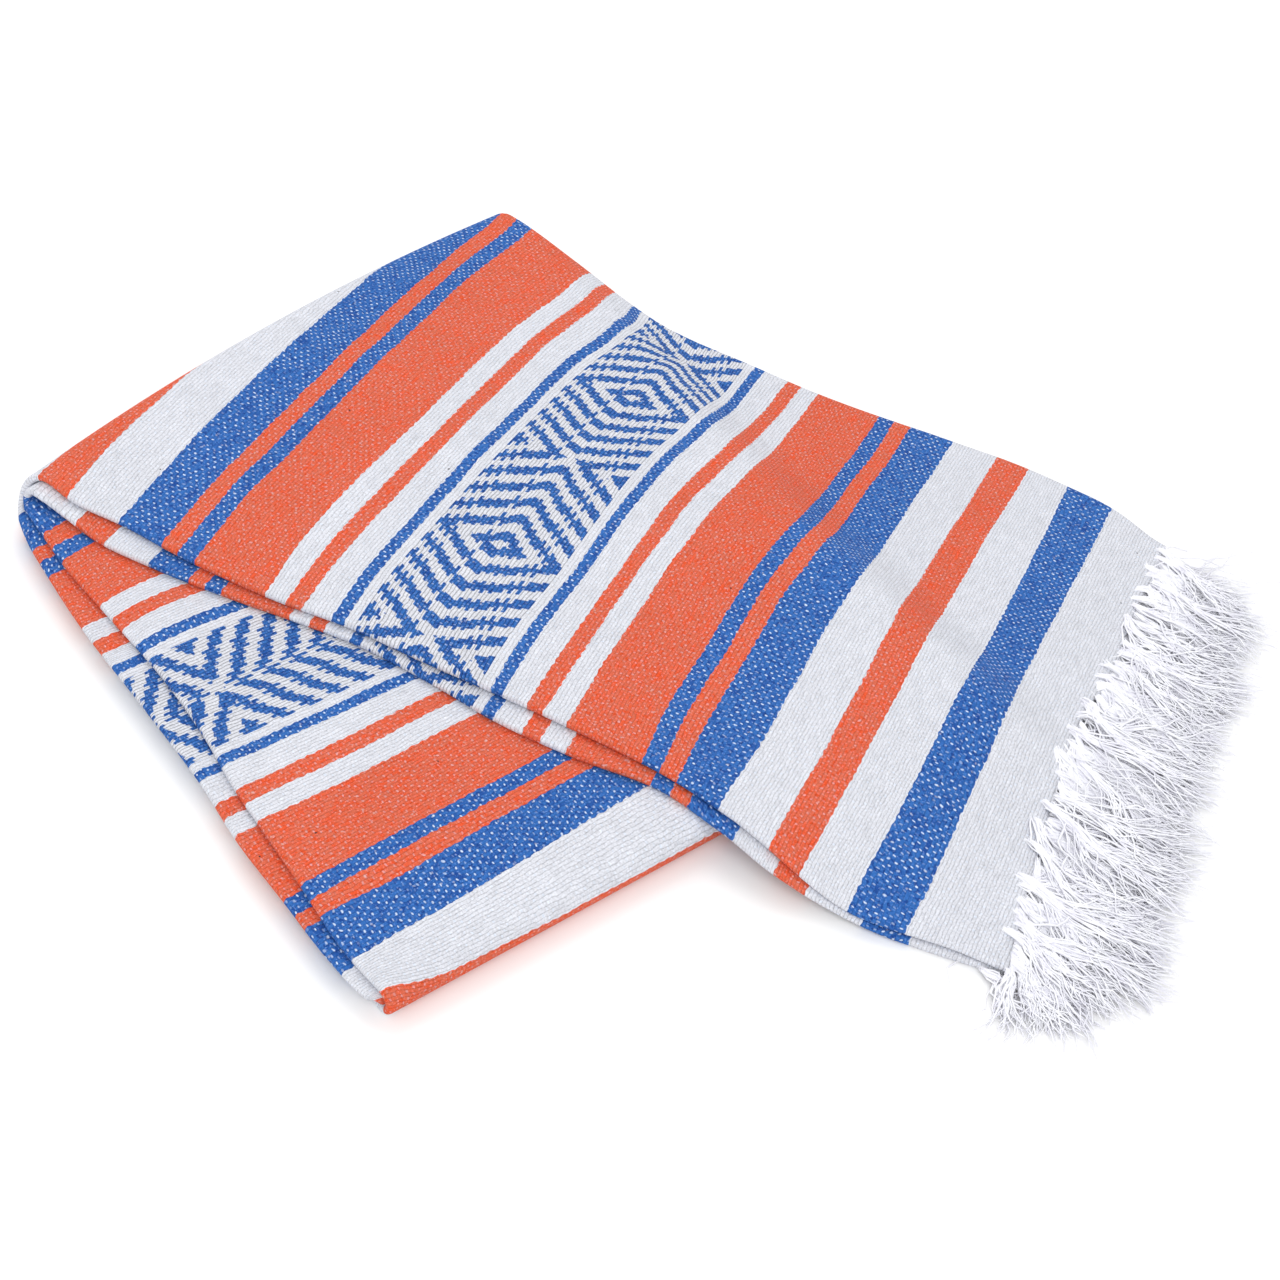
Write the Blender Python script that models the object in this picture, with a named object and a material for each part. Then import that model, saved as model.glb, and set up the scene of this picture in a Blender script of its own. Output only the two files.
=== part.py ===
"""A Mexican serape of the falsa kind: one striped, fringed blanket, folded and laid on a table.

The blanket is folded along its length first. Both long sides are turned in to the middle, and the
middle is then folded, so that it makes a strip of four layers: an outer pair, whose cloth is the top
face of the strip, and a lower pair. At the near edge each pair shows its own rounded fold, and at the
far edge the outer cloth goes round both.

The strip is then folded under twice. Its upper stretch runs from the woven end, with the fringe, to
the left fold. The lower stretch comes back under it at a slant, as far as the end fold. The last
stretch goes back under the lower one and is one plain stack of hidden layers.

Units are metres. X runs along the upper stretch towards the fringe, Y across it to the far edge, and
Z up. The table top is Z = 0, and the origin is under the middle of the whole folded blanket.
"""
import math

import bmesh
import bpy
from mathutils import Vector

NAME = "mexican_serape"

# The cloth and the strip of four layers.
CLOTH = 0.0020
GAP = 0.0003
STRIP = 0.0095
STRIP_WIDTH = 0.365
EDGE_ROLL = 0.0022
FAR_ROLL = STRIP / 2
TURN_IN = 0.040
NEAR_STEPS = (0.018, 0.029)
CORE_GAP = 0.0006
FAR_TURN = 0.025

# The left fold: its line crosses the strip at a slant, and bows outwards in the middle.
FOLD_X = -0.2365
FOLD_SLANT = math.radians(13.4)
FOLD_INSIDE = 0.0015
FOLD_OUTSIDE = FOLD_INSIDE + STRIP
FOLD_BOW = 0.0115
FOLD_BOW_MIDDLE = 0.205
FOLD_BOW_HALF = 0.190
FOLD_BOW_FADE = 0.120
FOLD_SWELL_FADE = 0.050

# The end fold of the lower stretch, and how far the strip goes on under it.
END_FOLD_X = -0.605
END_TUCK = 0.020

# Heights of the three stretches where they lie on each other.
LOWER_BASE = STRIP + GAP
LOWER_TOP = LOWER_BASE + STRIP
UPPER_BASE = LOWER_TOP + GAP
END_FOLD_OUTSIDE = LOWER_TOP / 2
END_BRIDGE = 0.005
END_FALL = 0.089
SIDE_BRIDGE = 0.0140
SIDE_FALL = 0.0430

# Edges of the strip as it lies, where x is measured along the opened strip, and the end of the weaving.
OUTER_EDGE = (  # x, y of the near edge of the outer pair
    (0.330, 0.001), (0.300, 0.000), (0.276, -0.004), (0.247, -0.009), (0.220, -0.008),
    (0.201, -0.005), (0.171, 0.001), (0.145, 0.006), (0.083, 0.009), (0.000, 0.008),
    (-0.040, 0.008), (-0.084, 0.004), (-0.137, 0.004), (-0.175, 0.007), (-0.204, 0.006),
    (-0.227, 0.010), (-0.245, 0.007), (-0.262, 0.001), (-0.280, -0.003), (-0.300, -0.005),
    (-0.343, -0.008), (-0.404, -0.008), (-0.463, -0.009), (-0.500, -0.012), (-0.540, -0.012),
    (-0.577, -0.010), (-0.600, -0.006), (-0.615, 0.000), (-0.660, 0.003),
)
LOWER_EDGE = (  # x, y of the near edge of the lower pair
    (0.330, 0.004), (0.311, 0.000), (0.279, -0.005), (0.249, -0.010), (0.223, -0.014),
    (0.203, -0.014), (0.179, -0.008), (0.142, 0.001), (0.095, -0.003), (0.050, -0.003),
    (0.018, 0.001), (-0.038, 0.004), (-0.068, 0.001), (-0.101, -0.003), (-0.141, -0.006),
    (-0.177, -0.006), (-0.199, -0.002), (-0.221, 0.002), (-0.245, 0.005), (-0.284, 0.004),
    (-0.303, 0.003), (-0.353, 0.005), (-0.390, 0.007), (-0.443, 0.005), (-0.474, 0.001),
    (-0.505, -0.001), (-0.538, -0.003), (-0.584, -0.006), (-0.610, -0.004), (-0.660, -0.002),
)
FAR_EDGE = (  # x, y of the far edge
    (0.330, 0.352), (0.318, 0.354), (0.284, 0.367), (0.254, 0.370), (0.226, 0.371),
    (0.179, 0.368), (0.132, 0.363), (0.093, 0.360), (0.050, 0.361), (0.000, 0.362),
    (-0.038, 0.366), (-0.075, 0.371), (-0.118, 0.377), (-0.150, 0.381), (-0.200, 0.381),
    (-0.260, 0.376), (-0.350, 0.366), (-0.450, 0.359), (-0.660, 0.355),
)
WOVEN_END = (  # y, x of the last pick
    (0.000, 0.327), (0.040, 0.323), (0.077, 0.320), (0.114, 0.317), (0.151, 0.314), (0.188, 0.315),
    (0.225, 0.320), (0.262, 0.319), (0.299, 0.320), (0.327, 0.322), (0.352, 0.321),
)
SOFT_FOLDS = (  # from x, from y, to x, to y, half width, height
    (0.150, 0.190, -0.080, 0.325, 0.030, 0.0012),
    (0.225, 0.060, 0.205, 0.330, 0.022, 0.0010),
    (0.120, 0.050, 0.135, 0.230, 0.020, -0.0008),
    (-0.030, 0.040, -0.120, 0.300, 0.028, 0.0009),
)

# The middle of the whole blanket as it lies, which goes to the origin.
MIDDLE_X = 0.0865
MIDDLE_Y = 0.1050

# Steps of the mesh along the strip and across it.
UPPER_STEPS = 26
LOWER_STEPS = 12
FOLD_STEPS = 6
ROLL_STEPS = 4
FIELD_SHARES = (0.0, 0.12, 0.24, 0.35, 0.46, 0.57, 0.68, 0.79, 0.90, 1.0)

# The fringe: warp ends left loose past the last pick, in locks.
FRINGE_BACK = 0.003
LOCK_STEPS = 3
LOCK_LEAN = 12.0
LOCK_FAN = 8.0
CORNER_FAN = 44.0
CORNER_FAN_WIDTH = 0.075
CORNER_SHORTER = 0.35
CORNER_SHORT_WIDTH = 0.05
LONG_SHORT = 0.10
LONG_SHORT_TURN = 2.3
LONG_SHORT_FINE = 0.06
LONG_SHORT_FINE_TURN = 5.1
LOCK_SWAY = 0.0012
LOCK_SWAY_TURN = 1.1
LOCK_TAPER = 0.55
LOCK_THIN = 0.9
LOCK_DROOP = 0.9
FRINGES = (  # name, lower face, upper face, locks, length, height of the tips, cloth end set back, start, stop
    ("fringe_upper_layer", 0.0077, 0.0093, 52, 0.074, 0.0052, 0.000, 0.008, 0.347),
    ("fringe_inner_layers", 0.0038, 0.0054, 42, 0.070, 0.0028, 0.003, 0.042, 0.345),
    ("fringe_under_layer", 0.0004, 0.0018, 36, 0.066, 0.0010, 0.0065, 0.009, 0.325),
)

# The last stretch, hidden under the others.
HIDDEN_LAYERS = 4
HIDDEN_INSET = 0.004
HIDDEN_GROOVE = 0.0009
HIDDEN_CORNER = 0.010

CORAL = (0.80, 0.17, 0.08, 1.0)
BLUE = (0.04, 0.13, 0.50, 1.0)
WHITE = (0.80, 0.81, 0.85, 1.0)


def clear_scene():
    """Removes whatever the file holds."""
    for obj in list(bpy.data.objects):
        bpy.data.objects.remove(obj, do_unlink=True)


def material(name, colour, roughness):
    """A cloth material of one colour."""
    made = bpy.data.materials.new(name)
    made.use_nodes = True
    shader = made.node_tree.nodes["Principled BSDF"]
    shader.inputs["Base Color"].default_value = colour
    shader.inputs["Roughness"].default_value = roughness
    shader.inputs["Metallic"].default_value = 0.0
    return made


def smooth(t):
    """A soft step from 0 to 1."""
    t = min(max(t, 0.0), 1.0)
    return t * t * (3.0 - 2.0 * t)


def read(table, at):
    """The value of a two-column table at one place, softly blended between its rows."""
    rows = sorted(table)
    if at <= rows[0][0]:
        return rows[0][1]
    for (x0, y0), (x1, y1) in zip(rows, rows[1:]):
        if at <= x1:
            return y0 + (y1 - y0) * smooth((at - x0) / (x1 - x0))
    return rows[-1][1]


def to_fold(x, y):
    """Distance from the left fold's line, and place along that line."""
    dx = x - FOLD_X
    across = dx * math.cos(FOLD_SLANT) - y * math.sin(FOLD_SLANT)
    along = dx * math.sin(FOLD_SLANT) + y * math.cos(FOLD_SLANT)
    return across, along


def from_fold(across, along):
    """Place on the table, or on the opened strip, of a point given by the left fold's line."""
    x = FOLD_X + across * math.cos(FOLD_SLANT) + along * math.sin(FOLD_SLANT)
    y = -across * math.sin(FOLD_SLANT) + along * math.cos(FOLD_SLANT)
    return x, y


def turned_back(across):
    """Turns a distance past the left fold into one on the lower stretch, and the other way round."""
    return 2.0 * FOLD_OUTSIDE - across - math.pi * FOLD_OUTSIDE


def rest_height(x, y):
    """How high the upper stretch lies: on the lower stretch, and softly down to the table beyond it."""
    across, along = to_fold(x, y)
    strip_x, strip_y = from_fold(turned_back(across), along)
    past_end = max(0.0, END_FOLD_X - END_FOLD_OUTSIDE - END_BRIDGE - strip_x)
    past_side = max(0.0, strip_y - SIDE_BRIDGE - read(FAR_EDGE, strip_x))
    return UPPER_BASE * smooth(1.0 - math.hypot(past_end / END_FALL, past_side / SIDE_FALL))


def soft_fold_height(x, y):
    """Height of the soft ridges and hollows of the upper face."""
    total = 0.0
    for x0, y0, x1, y1, half, height in SOFT_FOLDS:
        run = Vector((x1 - x0, y1 - y0))
        place = Vector((x - x0, y - y0))
        t = place.dot(run) / run.length_squared
        away = (place - run * min(max(t, 0.0), 1.0)).length
        total += height * smooth(1.0 - away / (2.0 * half))
    return total


def bow(across, along):
    """How far the left fold's bow pushes a point outwards."""
    t = (along - FOLD_BOW_MIDDLE) / FOLD_BOW_HALF
    if abs(t) >= 1.0:
        return 0.0
    away = max(0.0, abs(across) - FOLD_OUTSIDE)
    return FOLD_BOW * (1.0 - t * t) * smooth(1.0 - away / FOLD_BOW_FADE)


def lower_place(x, y, h):
    """Place of a point past the left fold, with the end fold and what is tucked under it."""
    past = END_FOLD_X - x
    radius = END_FOLD_OUTSIDE - h
    turn = math.pi * END_FOLD_OUTSIDE
    if past <= 0.0:
        z = LOWER_TOP - h
    elif past < turn:
        angle = past / END_FOLD_OUTSIDE
        x = END_FOLD_X - radius * math.sin(angle)
        z = END_FOLD_OUTSIDE + radius * math.cos(angle)
    else:
        x = END_FOLD_X + past - turn
        z = h
    across, along = to_fold(x, y)
    return turned_back(across), along, z


def placed(x, y, h):
    """Where a point of the opened strip lies once the strip is folded; h goes from 0 to STRIP."""
    across, along = to_fold(x, y)
    past = FOLD_OUTSIDE - across
    swell = 2.0 * FOLD_INSIDE - GAP
    if past <= 0.0:
        z = rest_height(x, y) + h
        z += swell * smooth(1.0 + past / FOLD_SWELL_FADE)
        z += soft_fold_height(x, y) * h / STRIP
    elif past < math.pi * FOLD_OUTSIDE:
        angle = past / FOLD_OUTSIDE
        radius = FOLD_INSIDE + h
        across = FOLD_OUTSIDE - radius * math.sin(angle)
        z = LOWER_TOP + FOLD_INSIDE + radius * math.cos(angle)
    else:
        across, along, z = lower_place(x, y, h)
    across -= bow(across, along)
    x, y = from_fold(across, along)
    return Vector((x, y, z))


def end_places():
    """x, y and height of the table side of the cloth's end, at the steps across the strip."""
    far = read(FAR_EDGE, WOVEN_END[0][1])
    places = [(read(WOVEN_END, y), y) for y in [0.0] + field(far) + [far]]
    return [Vector((x, y, rest_height(x, y))) for x, y in places]


def cloth_end(y):
    """The point of the cloth's end at one y, straight between the steps across the strip."""
    places = end_places()
    for low, high in zip(places, places[1:]):
        if y <= high.y or high is places[-1]:
            return low.lerp(high, (y - low.y) / (high.y - low.y))
    return places[-1]


def woven_end(y):
    """x of the end of the cloth at one y."""
    return cloth_end(y).x


def station_line(index, y):
    """x of one of the lines that part the strip's stretches: 0 is the woven end, 5 the tucked end."""
    if index == 0:
        return woven_end(y)
    if index in (1, 2):
        past = 0.0 if index == 1 else math.pi * FOLD_OUTSIDE
        return FOLD_X + (FOLD_OUTSIDE - past + y * math.sin(FOLD_SLANT)) / math.cos(FOLD_SLANT)
    turn = math.pi * END_FOLD_OUTSIDE
    return END_FOLD_X - (0.0, turn, turn + END_TUCK)[index - 3]


def station_x(station, y):
    """x on the opened strip of one station, which runs between the lines on either side of it."""
    index = min(int(station), 4)
    here = station_line(index, y)
    after = station_line(index + 1, y)
    return here + (after - here) * (station - index)


def stations(first, last):
    """The stations from one line to another, evenly spread in each stretch."""
    steps = (UPPER_STEPS, FOLD_STEPS, LOWER_STEPS, FOLD_STEPS, 1)
    found = [float(first)]
    for index in range(first, last):
        found += [index + (k + 1) / steps[index] for k in range(steps[index])]
    return found


def roll(y, h, outer, inner, start, end):
    """Pairs of points, outside and inside, round a fold of the cloth."""
    pairs = []
    for k in range(ROLL_STEPS + 1):
        angle = math.radians(start + (end - start) * k / ROLL_STEPS)
        turn = Vector((math.cos(angle), math.sin(angle)))
        centre = Vector((y, h))
        pairs.append((centre + turn * outer, centre + turn * inner))
    return pairs


def flat(y, outside, inside):
    """One pair of points where the cloth lies flat."""
    return Vector((y, outside)), Vector((y, inside))


def field(far):
    """Places across the flat middle of the strip."""
    start = TURN_IN
    width = far - FAR_TURN - GAP - start
    return [start + width * share for share in FIELD_SHARES]


def outer_section(near, far):
    """The outer cloth: turned in at the near edge, over the top, and round the far edge."""
    top = STRIP
    low = STRIP - 2.0 * EDGE_ROLL
    inner_roll = EDGE_ROLL - CLOTH
    pairs = [flat(y, low, low + CLOTH) for y in (TURN_IN,) + NEAR_STEPS[::-1]]
    pairs += roll(near + EDGE_ROLL, top - EDGE_ROLL, EDGE_ROLL, inner_roll, 270.0, 90.0)
    pairs += [flat(y, top, top - CLOTH) for y in list(NEAR_STEPS) + field(far)]
    pairs += roll(far - FAR_ROLL, FAR_ROLL, FAR_ROLL, FAR_ROLL - CLOTH, 90.0, -90.0)
    pairs.append(flat(far - FAR_TURN, 0.0, CLOTH))
    return pairs


def under_section(near, far):
    """The cloth of the lower pair: turned in at the near edge, and flat along the underside."""
    high = 2.0 * EDGE_ROLL
    inner_roll = EDGE_ROLL - CLOTH
    pairs = [flat(y, high, high - CLOTH) for y in (TURN_IN,) + NEAR_STEPS[::-1]]
    pairs += roll(near + EDGE_ROLL, EDGE_ROLL, EDGE_ROLL, inner_roll, 90.0, 270.0)
    pairs += [flat(y, 0.0, CLOTH) for y in list(NEAR_STEPS) + field(far)]
    return pairs


def core_section(near, far):
    """The two hidden layers inside the strip, as one solid with softened edges."""
    low = CLOTH + CORE_GAP
    high = STRIP - CLOTH - CORE_GAP
    soften = CLOTH / 2
    places = field(far)
    pairs = [flat(places[0] + GAP, high - soften, low + soften)]
    pairs += [flat(places[0] + GAP + soften, high, low)]
    pairs += [flat(y, high, low) for y in places[1:]]
    pairs += [flat(far - FAR_ROLL - CORE_GAP, high, low)]
    return pairs


def two_faces(shape, grid, i, j, rising):
    """The two triangles of one step of a grid, parted the same way in each layer of the strip."""
    a, b = grid[i][j], grid[i][j + 1]
    d, c = grid[i + 1][j], grid[i + 1][j + 1]
    if rising:
        shape.faces.new((a, b, c))
        shape.faces.new((a, c, d))
    else:
        shape.faces.new((a, b, d))
        shape.faces.new((b, c, d))


def cloth_object(name, outside, inside, rising, look, collection):
    """A closed wall of cloth lofted between its outer and inner faces, given as grids of points."""
    shape = bmesh.new()
    grids = [[[shape.verts.new(p) for p in row] for row in grid] for grid in (outside, inside)]
    rows = len(outside)
    columns = len(outside[0])
    for grid, edges in zip(grids, rising):
        for i in range(rows - 1):
            for j in range(columns - 1):
                two_faces(shape, grid, i, j, edges[j])
    outer, inner = grids
    for i in range(rows - 1):
        for j in (0, columns - 1):
            shape.faces.new((outer[i][j], outer[i + 1][j], inner[i + 1][j], inner[i][j]))
    for j in range(columns - 1):
        for i in (0, rows - 1):
            shape.faces.new((outer[i][j], outer[i][j + 1], inner[i][j + 1], inner[i][j]))
    bmesh.ops.recalc_face_normals(shape, faces=shape.faces)
    return finished(name, shape, look, collection)


def finished(name, shape, look, collection):
    """Turns a bmesh into a named, dressed object of the collection, about the origin."""
    bmesh.ops.translate(shape, verts=shape.verts, vec=(-MIDDLE_X, -MIDDLE_Y, 0.0))
    mesh = bpy.data.meshes.new(name)
    shape.to_mesh(mesh)
    shape.free()
    mesh.materials.append(look)
    mesh.shade_smooth()
    mesh.set_sharp_from_angle(angle=math.radians(40.0))
    made = bpy.data.objects.new(name, mesh)
    collection.objects.link(made)
    return made


def run_of_cloth(name, section, edge, first, last, set_back, look, collection):
    """One stretch of cloth, with a section worked out at each station along the strip."""
    outside = []
    inside = []
    for station in stations(first, last):
        back = set_back if station == first else 0.0
        near = read(edge, station_x(station, 0.0))
        far = read(FAR_EDGE, station_x(station, STRIP_WIDTH))
        pairs = section(near, far)
        rows = ([], [])
        for pair in pairs:
            for row, point in zip(rows, pair):
                row.append(placed(station_x(station, point.x) - back, point.x, point.y))
        outside.append(rows[0])
        inside.append(rows[1])
        rising = [[b[face].x > a[face].x for a, b in zip(pairs, pairs[1:])] for face in (0, 1)]
    return cloth_object(name, outside, inside, rising, look, collection)


def hidden_outline():
    """Corner points, in plan, of the last stretch under the lower one."""
    near = HIDDEN_INSET
    far = STRIP_WIDTH - HIDDEN_INSET
    right = END_FOLD_X + END_TUCK + GAP
    corners = []
    for x, y in ((right, near), (right, far), (None, far), (None, near)):
        if x is None:
            x = station_line(2, y)
        corners.append(placed(x, y, STRIP).to_2d())
    return corners


def rounded(corners, inset):
    """The outline with its corners rounded, drawn in by a small distance."""
    points = []
    count = len(corners)
    for k, corner in enumerate(corners):
        back = (corners[k - 1] - corner).normalized()
        on = (corners[(k + 1) % count] - corner).normalized()
        half = back.angle(on) / 2.0
        middle = (back + on).normalized()
        radius = HIDDEN_CORNER
        centre = corner + middle * (radius / math.sin(half))
        start = math.atan2(*(corner + back * (radius / math.tan(half)) - centre).yx)
        end = math.atan2(*(corner + on * (radius / math.tan(half)) - centre).yx)
        sweep = (end - start + math.pi) % (2.0 * math.pi) - math.pi
        for step in range(5):
            angle = start + sweep * step / 4
            points.append(centre + Vector((math.cos(angle), math.sin(angle))) * (radius - inset))
    return points


def hidden_stretch(look, collection):
    """The last stretch as one solid, grooved all round between its layers."""
    corners = hidden_outline()
    thick = STRIP / HIDDEN_LAYERS
    levels = []
    for layer in range(HIDDEN_LAYERS):
        low = layer * thick
        levels += [(low, HIDDEN_GROOVE), (low + thick * 0.25, HIDDEN_GROOVE * 0.2)]
        levels += [(low + thick * 0.75, HIDDEN_GROOVE * 0.2)]
    levels.append((STRIP, HIDDEN_GROOVE))
    shape = bmesh.new()
    rings = []
    for z, inset in levels:
        rings.append([shape.verts.new((p.x, p.y, z)) for p in rounded(corners, inset)])
    for low, high in zip(rings, rings[1:]):
        for k in range(len(low)):
            shape.faces.new((low[k - 1], low[k], high[k], high[k - 1]))
    shape.faces.new(rings[0])
    shape.faces.new(rings[-1])
    bmesh.ops.recalc_face_normals(shape, faces=shape.faces)
    return finished("folded_under_stretch", shape, look, collection)


def lock_direction(y):
    """Which way the fringe lies, in plan: along X, and fanned towards the near corner."""
    near = smooth(1.0 - y / CORNER_FAN_WIDTH)
    angle = math.radians(-LOCK_LEAN - LOCK_FAN * smooth(1.0 - y / STRIP_WIDTH) - CORNER_FAN * near)
    return Vector((math.cos(angle), math.sin(angle), 0.0))


def fringe(name, low, high, locks, length, tip_height, set_back, near, far, look, collection):
    """A row of locks on a narrow backing strip, just clear of the cloth's end."""
    shape = bmesh.new()
    rings = []
    for k in range(2 * locks + 1):
        y = near + (far - near) * k / (2 * locks)
        end = cloth_end(y)
        x = end.x - set_back + GAP
        ring = ((x, low), (x + FRINGE_BACK, low), (x + FRINGE_BACK, high), (x, high))
        rings.append([shape.verts.new((px, y, end.z + pz)) for px, pz in ring])
    roots = []
    for k, (a, b) in enumerate(zip(rings, rings[1:])):
        for side in range(4):
            face = shape.faces.new((a[side], a[side - 3], b[side - 3], b[side]))
            if side == 1 and k % 2 == 0:
                roots.append(face)
    shape.faces.new(rings[0])
    shape.faces.new(rings[-1])
    bmesh.ops.recalc_face_normals(shape, faces=shape.faces)
    for number, root in enumerate(roots):
        grow_lock(shape, root, number, length, tip_height)
    return finished(name, shape, look, collection)


def grow_lock(shape, root, number, length, tip_height):
    """Draws one tapering lock out of a face of the backing strip."""
    start = root.calc_center_median()
    way = lock_direction(start.y)
    side = Vector((-way.y, way.x, 0.0))
    uneven = LONG_SHORT * math.sin(LONG_SHORT_TURN * number)
    fine = LONG_SHORT_FINE * math.sin(LONG_SHORT_FINE_TURN * number)
    reach = length * (1.0 + uneven + fine)
    near = smooth(1.0 - start.y / CORNER_SHORT_WIDTH)
    reach *= 1.0 - CORNER_SHORTER * near
    corners = [v.co - start for v in root.verts]
    face = root
    for step in range(1, LOCK_STEPS + 1):
        t = step / LOCK_STEPS
        made = bmesh.ops.extrude_discrete_faces(shape, faces=[face])
        face = made["faces"][0]
        sway = LOCK_SWAY * math.sin(LOCK_SWAY_TURN * number) * math.sin(math.pi * t)
        centre = start + way * (reach * t) + side * sway
        centre.z = start.z + (tip_height - start.z) * smooth(t * LOCK_DROOP + (1.0 - LOCK_DROOP) * t * t)
        taper = 1.0 - LOCK_TAPER * t
        for vertex, corner in zip(face.verts, corners):
            flat_part = side * (corner.y * taper * LOCK_THIN)
            vertex.co = centre + flat_part + Vector((0.0, 0.0, corner.z * taper))


def build():
    """Builds the folded serape in a collection of its own."""
    clear_scene()
    collection = bpy.data.collections.new(NAME)
    bpy.context.scene.collection.children.link(collection)
    coral = material("coral_weave", CORAL, 0.9)
    blue = material("blue_weave", BLUE, 0.9)
    white = material("white_weave", WHITE, 0.9)
    inner_back = FRINGES[1][6]
    under_back = FRINGES[2][6]
    run_of_cloth("upper_stretch_face", outer_section, OUTER_EDGE, 0, 2, 0.0, coral, collection)
    run_of_cloth("upper_stretch_underside", under_section, LOWER_EDGE, 0, 2, under_back, blue, collection)
    run_of_cloth("hidden_inner_layers", core_section, OUTER_EDGE, 0, 5, inner_back, white, collection)
    run_of_cloth("lower_stretch_face", under_section, LOWER_EDGE, 2, 5, GAP, blue, collection)
    run_of_cloth("lower_stretch_underside", outer_section, OUTER_EDGE, 2, 5, GAP, coral, collection)
    hidden_stretch(white, collection)
    for row in FRINGES:
        fringe(*row, white, collection)


build()
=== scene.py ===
"""Dresses the folded Mexican serape: handwoven striped cloth in layers, and its loose fringe.

The cloth is one panel. It is folded lengthwise into a strip of four layers, and the strip is
folded under at a slant and again at its end. Lengths are in metres, except in the two colour
charts. X runs along the upper stretch to the fringe, Y across it to the far edge, and Z up from
the table.
"""
import logging
import math
from dataclasses import dataclass
from enum import Enum

import bmesh
import bpy
import numpy as np
from mathutils import Matrix, Vector


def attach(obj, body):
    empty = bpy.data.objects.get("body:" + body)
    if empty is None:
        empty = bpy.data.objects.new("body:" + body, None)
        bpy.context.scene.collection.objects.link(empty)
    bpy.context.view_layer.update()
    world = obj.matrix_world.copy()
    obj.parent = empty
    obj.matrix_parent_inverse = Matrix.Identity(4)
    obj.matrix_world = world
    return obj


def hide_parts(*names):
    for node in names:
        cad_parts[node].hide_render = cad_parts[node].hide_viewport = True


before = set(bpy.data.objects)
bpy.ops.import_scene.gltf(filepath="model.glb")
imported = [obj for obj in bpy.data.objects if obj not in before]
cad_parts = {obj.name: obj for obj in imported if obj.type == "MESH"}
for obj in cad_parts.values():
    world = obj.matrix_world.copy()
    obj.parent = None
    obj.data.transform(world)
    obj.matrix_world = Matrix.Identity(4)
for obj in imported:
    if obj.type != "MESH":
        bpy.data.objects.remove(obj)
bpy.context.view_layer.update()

LOG = logging.getLogger("serape")

Array = np.ndarray
Rows = tuple[tuple[float, ...], ...]
Span = tuple[float, float]
Spot = tuple[float, float, float]
Colour = tuple[float, float, float, float]
Piece = bpy.types.Object
Look = bpy.types.Material
Tree = bpy.types.NodeTree
Node = bpy.types.Node
Socket = bpy.types.NodeSocket

MM = 0.001
STRIP_WIDTH = 0.365
HALF_REPEAT = 0.210
DIAMOND_HALF = 0.080
PICK = 0.00195
WARP_STEP = 0.00575
STATION_LINES = 6
CLOSEST = 1e-6
CLOTH_MAP = "cloth"


def soft_step(t: Array) -> Array:
    """A soft step from 0 to 1."""
    t = np.clip(t, 0.0, 1.0)
    return t * t * (3.0 - 2.0 * t)


def soft_read(rows: Rows, at: Array) -> Array:
    """Reads a two-column table along a smooth line through its rows.

    Args:
        rows: Pairs of place and value, in any order.
        at: Places to read at.

    Returns:
        The values there.
    """
    table = np.array(sorted(rows))
    place, value = table[:, 0], table[:, 1]
    slope = np.gradient(value, place)
    at = np.clip(at, place[0], place[-1])
    k = np.clip(np.searchsorted(place, at) - 1, 0, len(place) - 2)
    width = place[k + 1] - place[k]
    t = (at - place[k]) / width
    rise = t * t * (3.0 - 2.0 * t)
    start = t * (1.0 - t) ** 2 * width
    end = t * t * (t - 1.0) * width
    return value[k] * (1.0 - rise) + value[k + 1] * rise + slope[k] * start + slope[k + 1] * end


@dataclass(frozen=True)
class Crease:
    """A soft ridge, or a hollow where its height is below nothing, along a short line."""

    x0: float
    y0: float
    x1: float
    y1: float
    half: float
    height: float
    bend: float = 0.006
    bend_rate: float = 3.0 * math.pi
    bend_start: float = 40.0
    steady: float = 0.75
    uneven: float = 0.25
    uneven_rate: float = 5.0
    uneven_start: float = 30.0

    def lift(self, x: Array, y: Array) -> Array:
        """Works out how far the crease lifts the cloth.

        Args:
            x: Places along the opened strip.
            y: Places across it.

        Returns:
            Heights at these places.
        """
        run = np.array([self.x1 - self.x0, self.y1 - self.y0])
        t = ((x - self.x0) * run[0] + (y - self.y0) * run[1]) / (run @ run)
        on = np.clip(t, 0.0, 1.0)
        bend = self.bend * np.sin(self.bend_rate * on + self.bend_start * self.x0)
        away = np.hypot(x - self.x0 - run[0] * on + bend, y - self.y0 - run[1] * on)
        wave = np.sin(self.uneven_rate * t + self.uneven_start * self.y0)
        height = self.height * (self.steady + self.uneven * wave)
        return height * soft_step(1.0 - away / (2.0 * self.half))


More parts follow.
